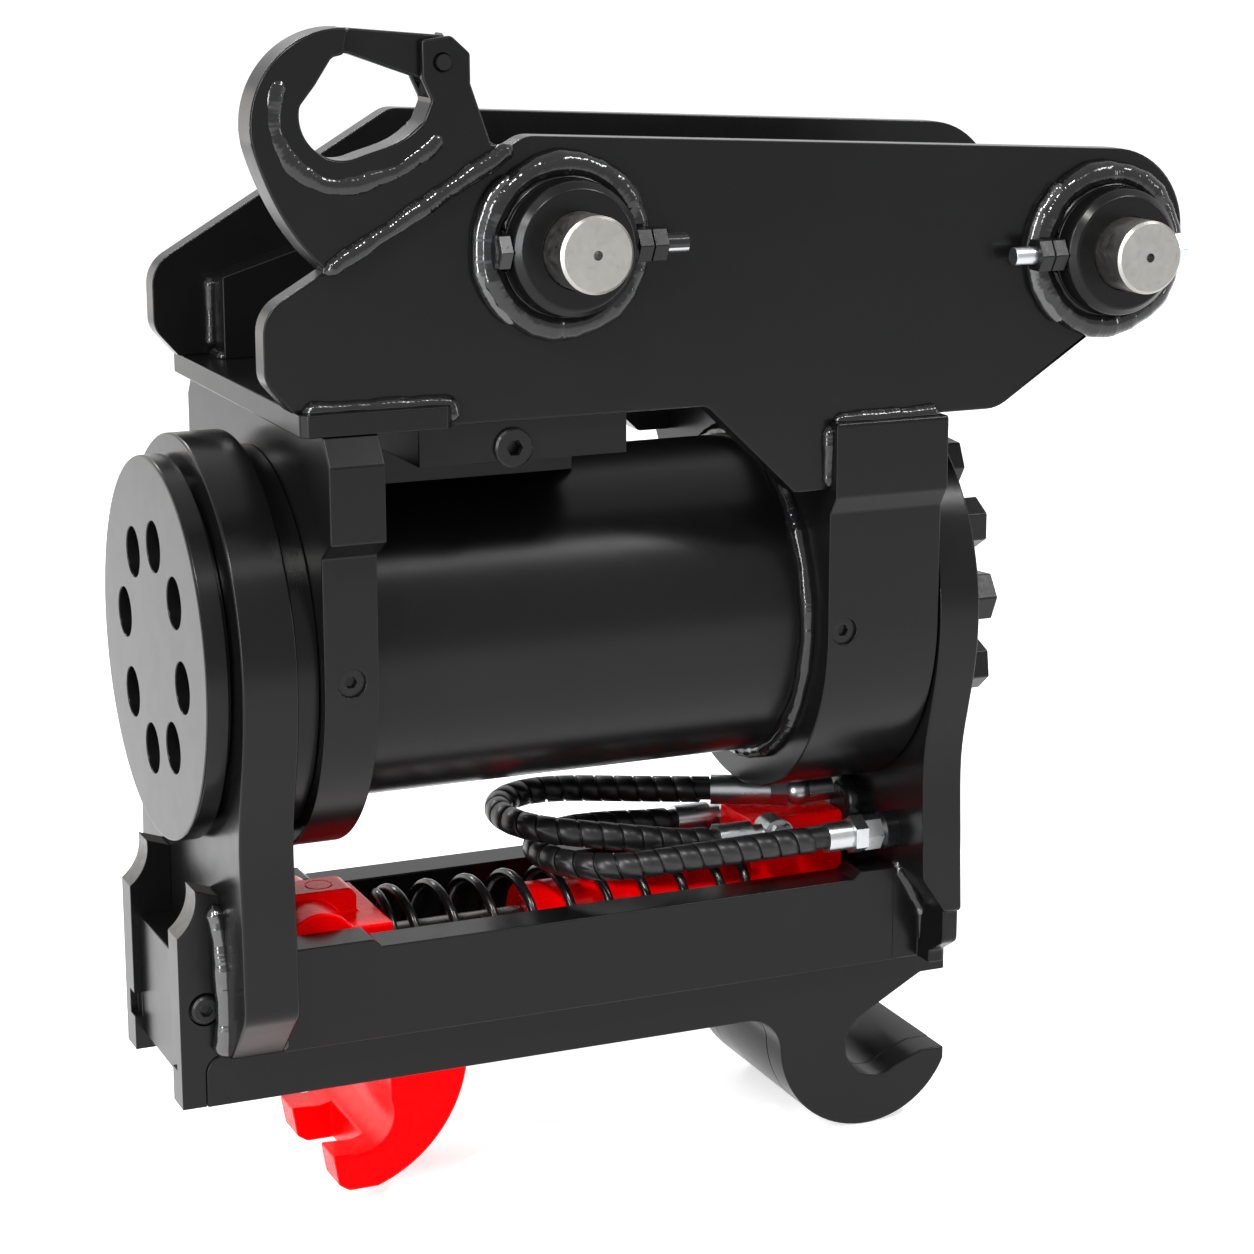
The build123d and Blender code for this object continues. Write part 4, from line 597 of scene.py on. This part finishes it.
# The raised ridge forged round the lifting hook's eye and down its shank
EYE_X, EYE_Z, RIDGE_Y, RIDGE_R = 76.1, 291.5, -112.4, 35.5
ridge = ring(EYE_X, RIDGE_Y, EYE_Z, RIDGE_R, "y", 146, 292)
ridge += [(102, RIDGE_Y, 261), (118, RIDGE_Y, 270), (130, RIDGE_Y, 281)]
weld("hook_ridge", ridge, 6.2, "head", seed=24)


# ---------------------------------------------------------------- floor, backdrop and light
FLOOR_HALF = 60                       # metres
FLOOR_DROP = 0.0006                   # metres from the object's lowest point to the floor
FLOOR_COLOR = (0.9, 0.9, 0.9, 1)
FLOOR_GLOW = 0.62                     # added where the camera or a reflection sees the floor
SOFT_COLOR, SOFT_LEVEL = (0.93, 0.96, 1.0, 1), 0.55
WHITE = (1, 1, 1, 1)


def empty_tree(owner):
    """A material's or world's node tree with nothing in it."""
    owner.use_nodes = True
    owner.node_tree.nodes.clear()
    return owner.node_tree


def pick_by_ray(tree, others, seen, output):
    """Show one shader to camera, glossy and transmission rays, and another to all other rays."""
    rays = tree.nodes.new("ShaderNodeLightPath")
    either = tree.nodes.new("ShaderNodeMath")
    either.operation = "MAXIMUM"
    any_of = tree.nodes.new("ShaderNodeMath")
    any_of.operation = "MAXIMUM"
    mix = tree.nodes.new("ShaderNodeMixShader")
    tree.links.new(rays.outputs["Is Camera Ray"], either.inputs[0])
    tree.links.new(rays.outputs["Is Glossy Ray"], either.inputs[1])
    tree.links.new(either.outputs[0], any_of.inputs[0])
    tree.links.new(rays.outputs["Is Transmission Ray"], any_of.inputs[1])
    tree.links.new(any_of.outputs[0], mix.inputs[0])
    tree.links.new(others.outputs[0], mix.inputs[1])
    tree.links.new(seen.outputs[0], mix.inputs[2])
    tree.links.new(mix.outputs[0], output.inputs["Surface"])


def background(tree, color, strength):
    """Background shader of one colour."""
    node = tree.nodes.new("ShaderNodeBackground")
    node.inputs["Color"].default_value = color
    node.inputs["Strength"].default_value = strength
    return node


floor_z = cad_box[0].z - FLOOR_DROP
floor_me = bpy.data.meshes.new("floor")
floor_me.from_pydata([(x * FLOOR_HALF, y * FLOOR_HALF, floor_z)
                      for x, y in ((-1, -1), (1, -1), (1, 1), (-1, 1))], [], [(0, 1, 2, 3)])
floor = bpy.data.objects.new("floor", floor_me)
scene.collection.objects.link(floor)
floor_mat = bpy.data.materials.new("floor")
tree = empty_tree(floor_mat)
plain = tree.nodes.new("ShaderNodeBsdfDiffuse")
plain.inputs["Color"].default_value = FLOOR_COLOR
glow = tree.nodes.new("ShaderNodeEmission")
glow.inputs["Color"].default_value = WHITE
glow.inputs["Strength"].default_value = FLOOR_GLOW
bright = tree.nodes.new("ShaderNodeAddShader")
tree.links.new(plain.outputs[0], bright.inputs[0])
tree.links.new(glow.outputs[0], bright.inputs[1])
pick_by_ray(tree, plain, bright, tree.nodes.new("ShaderNodeOutputMaterial"))
floor_me.materials.append(floor_mat)

world = bpy.data.worlds.new("world")
scene.world = world
tree = empty_tree(world)
pick_by_ray(tree, background(tree, SOFT_COLOR, SOFT_LEVEL), background(tree, WHITE, 1.0),
            tree.nodes.new("ShaderNodeOutputWorld"))

# Small bright lamps, because the photograph's black paint shows narrow, sharp highlights:
# name, place, point aimed at, width and height, watts, colour
LAMPS = (
    ("key", (-1.3, -1.7, 2.2), (-0.25, 0, -0.1), (0.3, 0.3), 58, (1.0, 0.98, 0.95)),
    ("left_strip", (-2.4, -1.1, 0.25), (-0.4, 0, -0.1), (0.36, 1.3), 44, (0.97, 0.98, 1.0)),
    ("right_top", (1.3, -1.2, 1.9), (-0.2, 0, 0), (0.9, 0.14), 30, (1, 1, 1)),
    ("left_high", (-2.2, -0.9, 1.3), (-0.3, 0, -0.1), (0.5, 0.5), 28, (1, 1, 1)),
    ("tube_band", (0.7, -1.25, 1.75), (-0.3, 0, 0), (1.3, 0.3), 10, (1, 1, 1)),
    ("back_rim", (-0.9, 2.2, 1.5), (-0.3, 0, 0), (1.6, 0.14), 26, (1, 1, 1)),
    ("back_glow", (-1.7, 2.0, 0.05), (-0.4, 0, 0), (1.8, 0.9), 6.5, (1.0, 0.92, 0.82)),
    ("right_fill", (2.0, -1.3, 0.3), (-0.1, 0, -0.2), (0.2, 1.0), 10, (1, 1, 1)),
)
for name, place, target, (width, height), watts, color in LAMPS:
    data = bpy.data.lights.new(name, "AREA")
    data.shape = "RECTANGLE"
    data.size = width
    data.size_y = height
    data.energy = watts
    data.color = color
    lamp = bpy.data.objects.new(name, data)
    lamp.location = place
    lamp.rotation_euler = (Vector(target) - Vector(place)).to_track_quat("-Z", "Y").to_euler()
    scene.collection.objects.link(lamp)
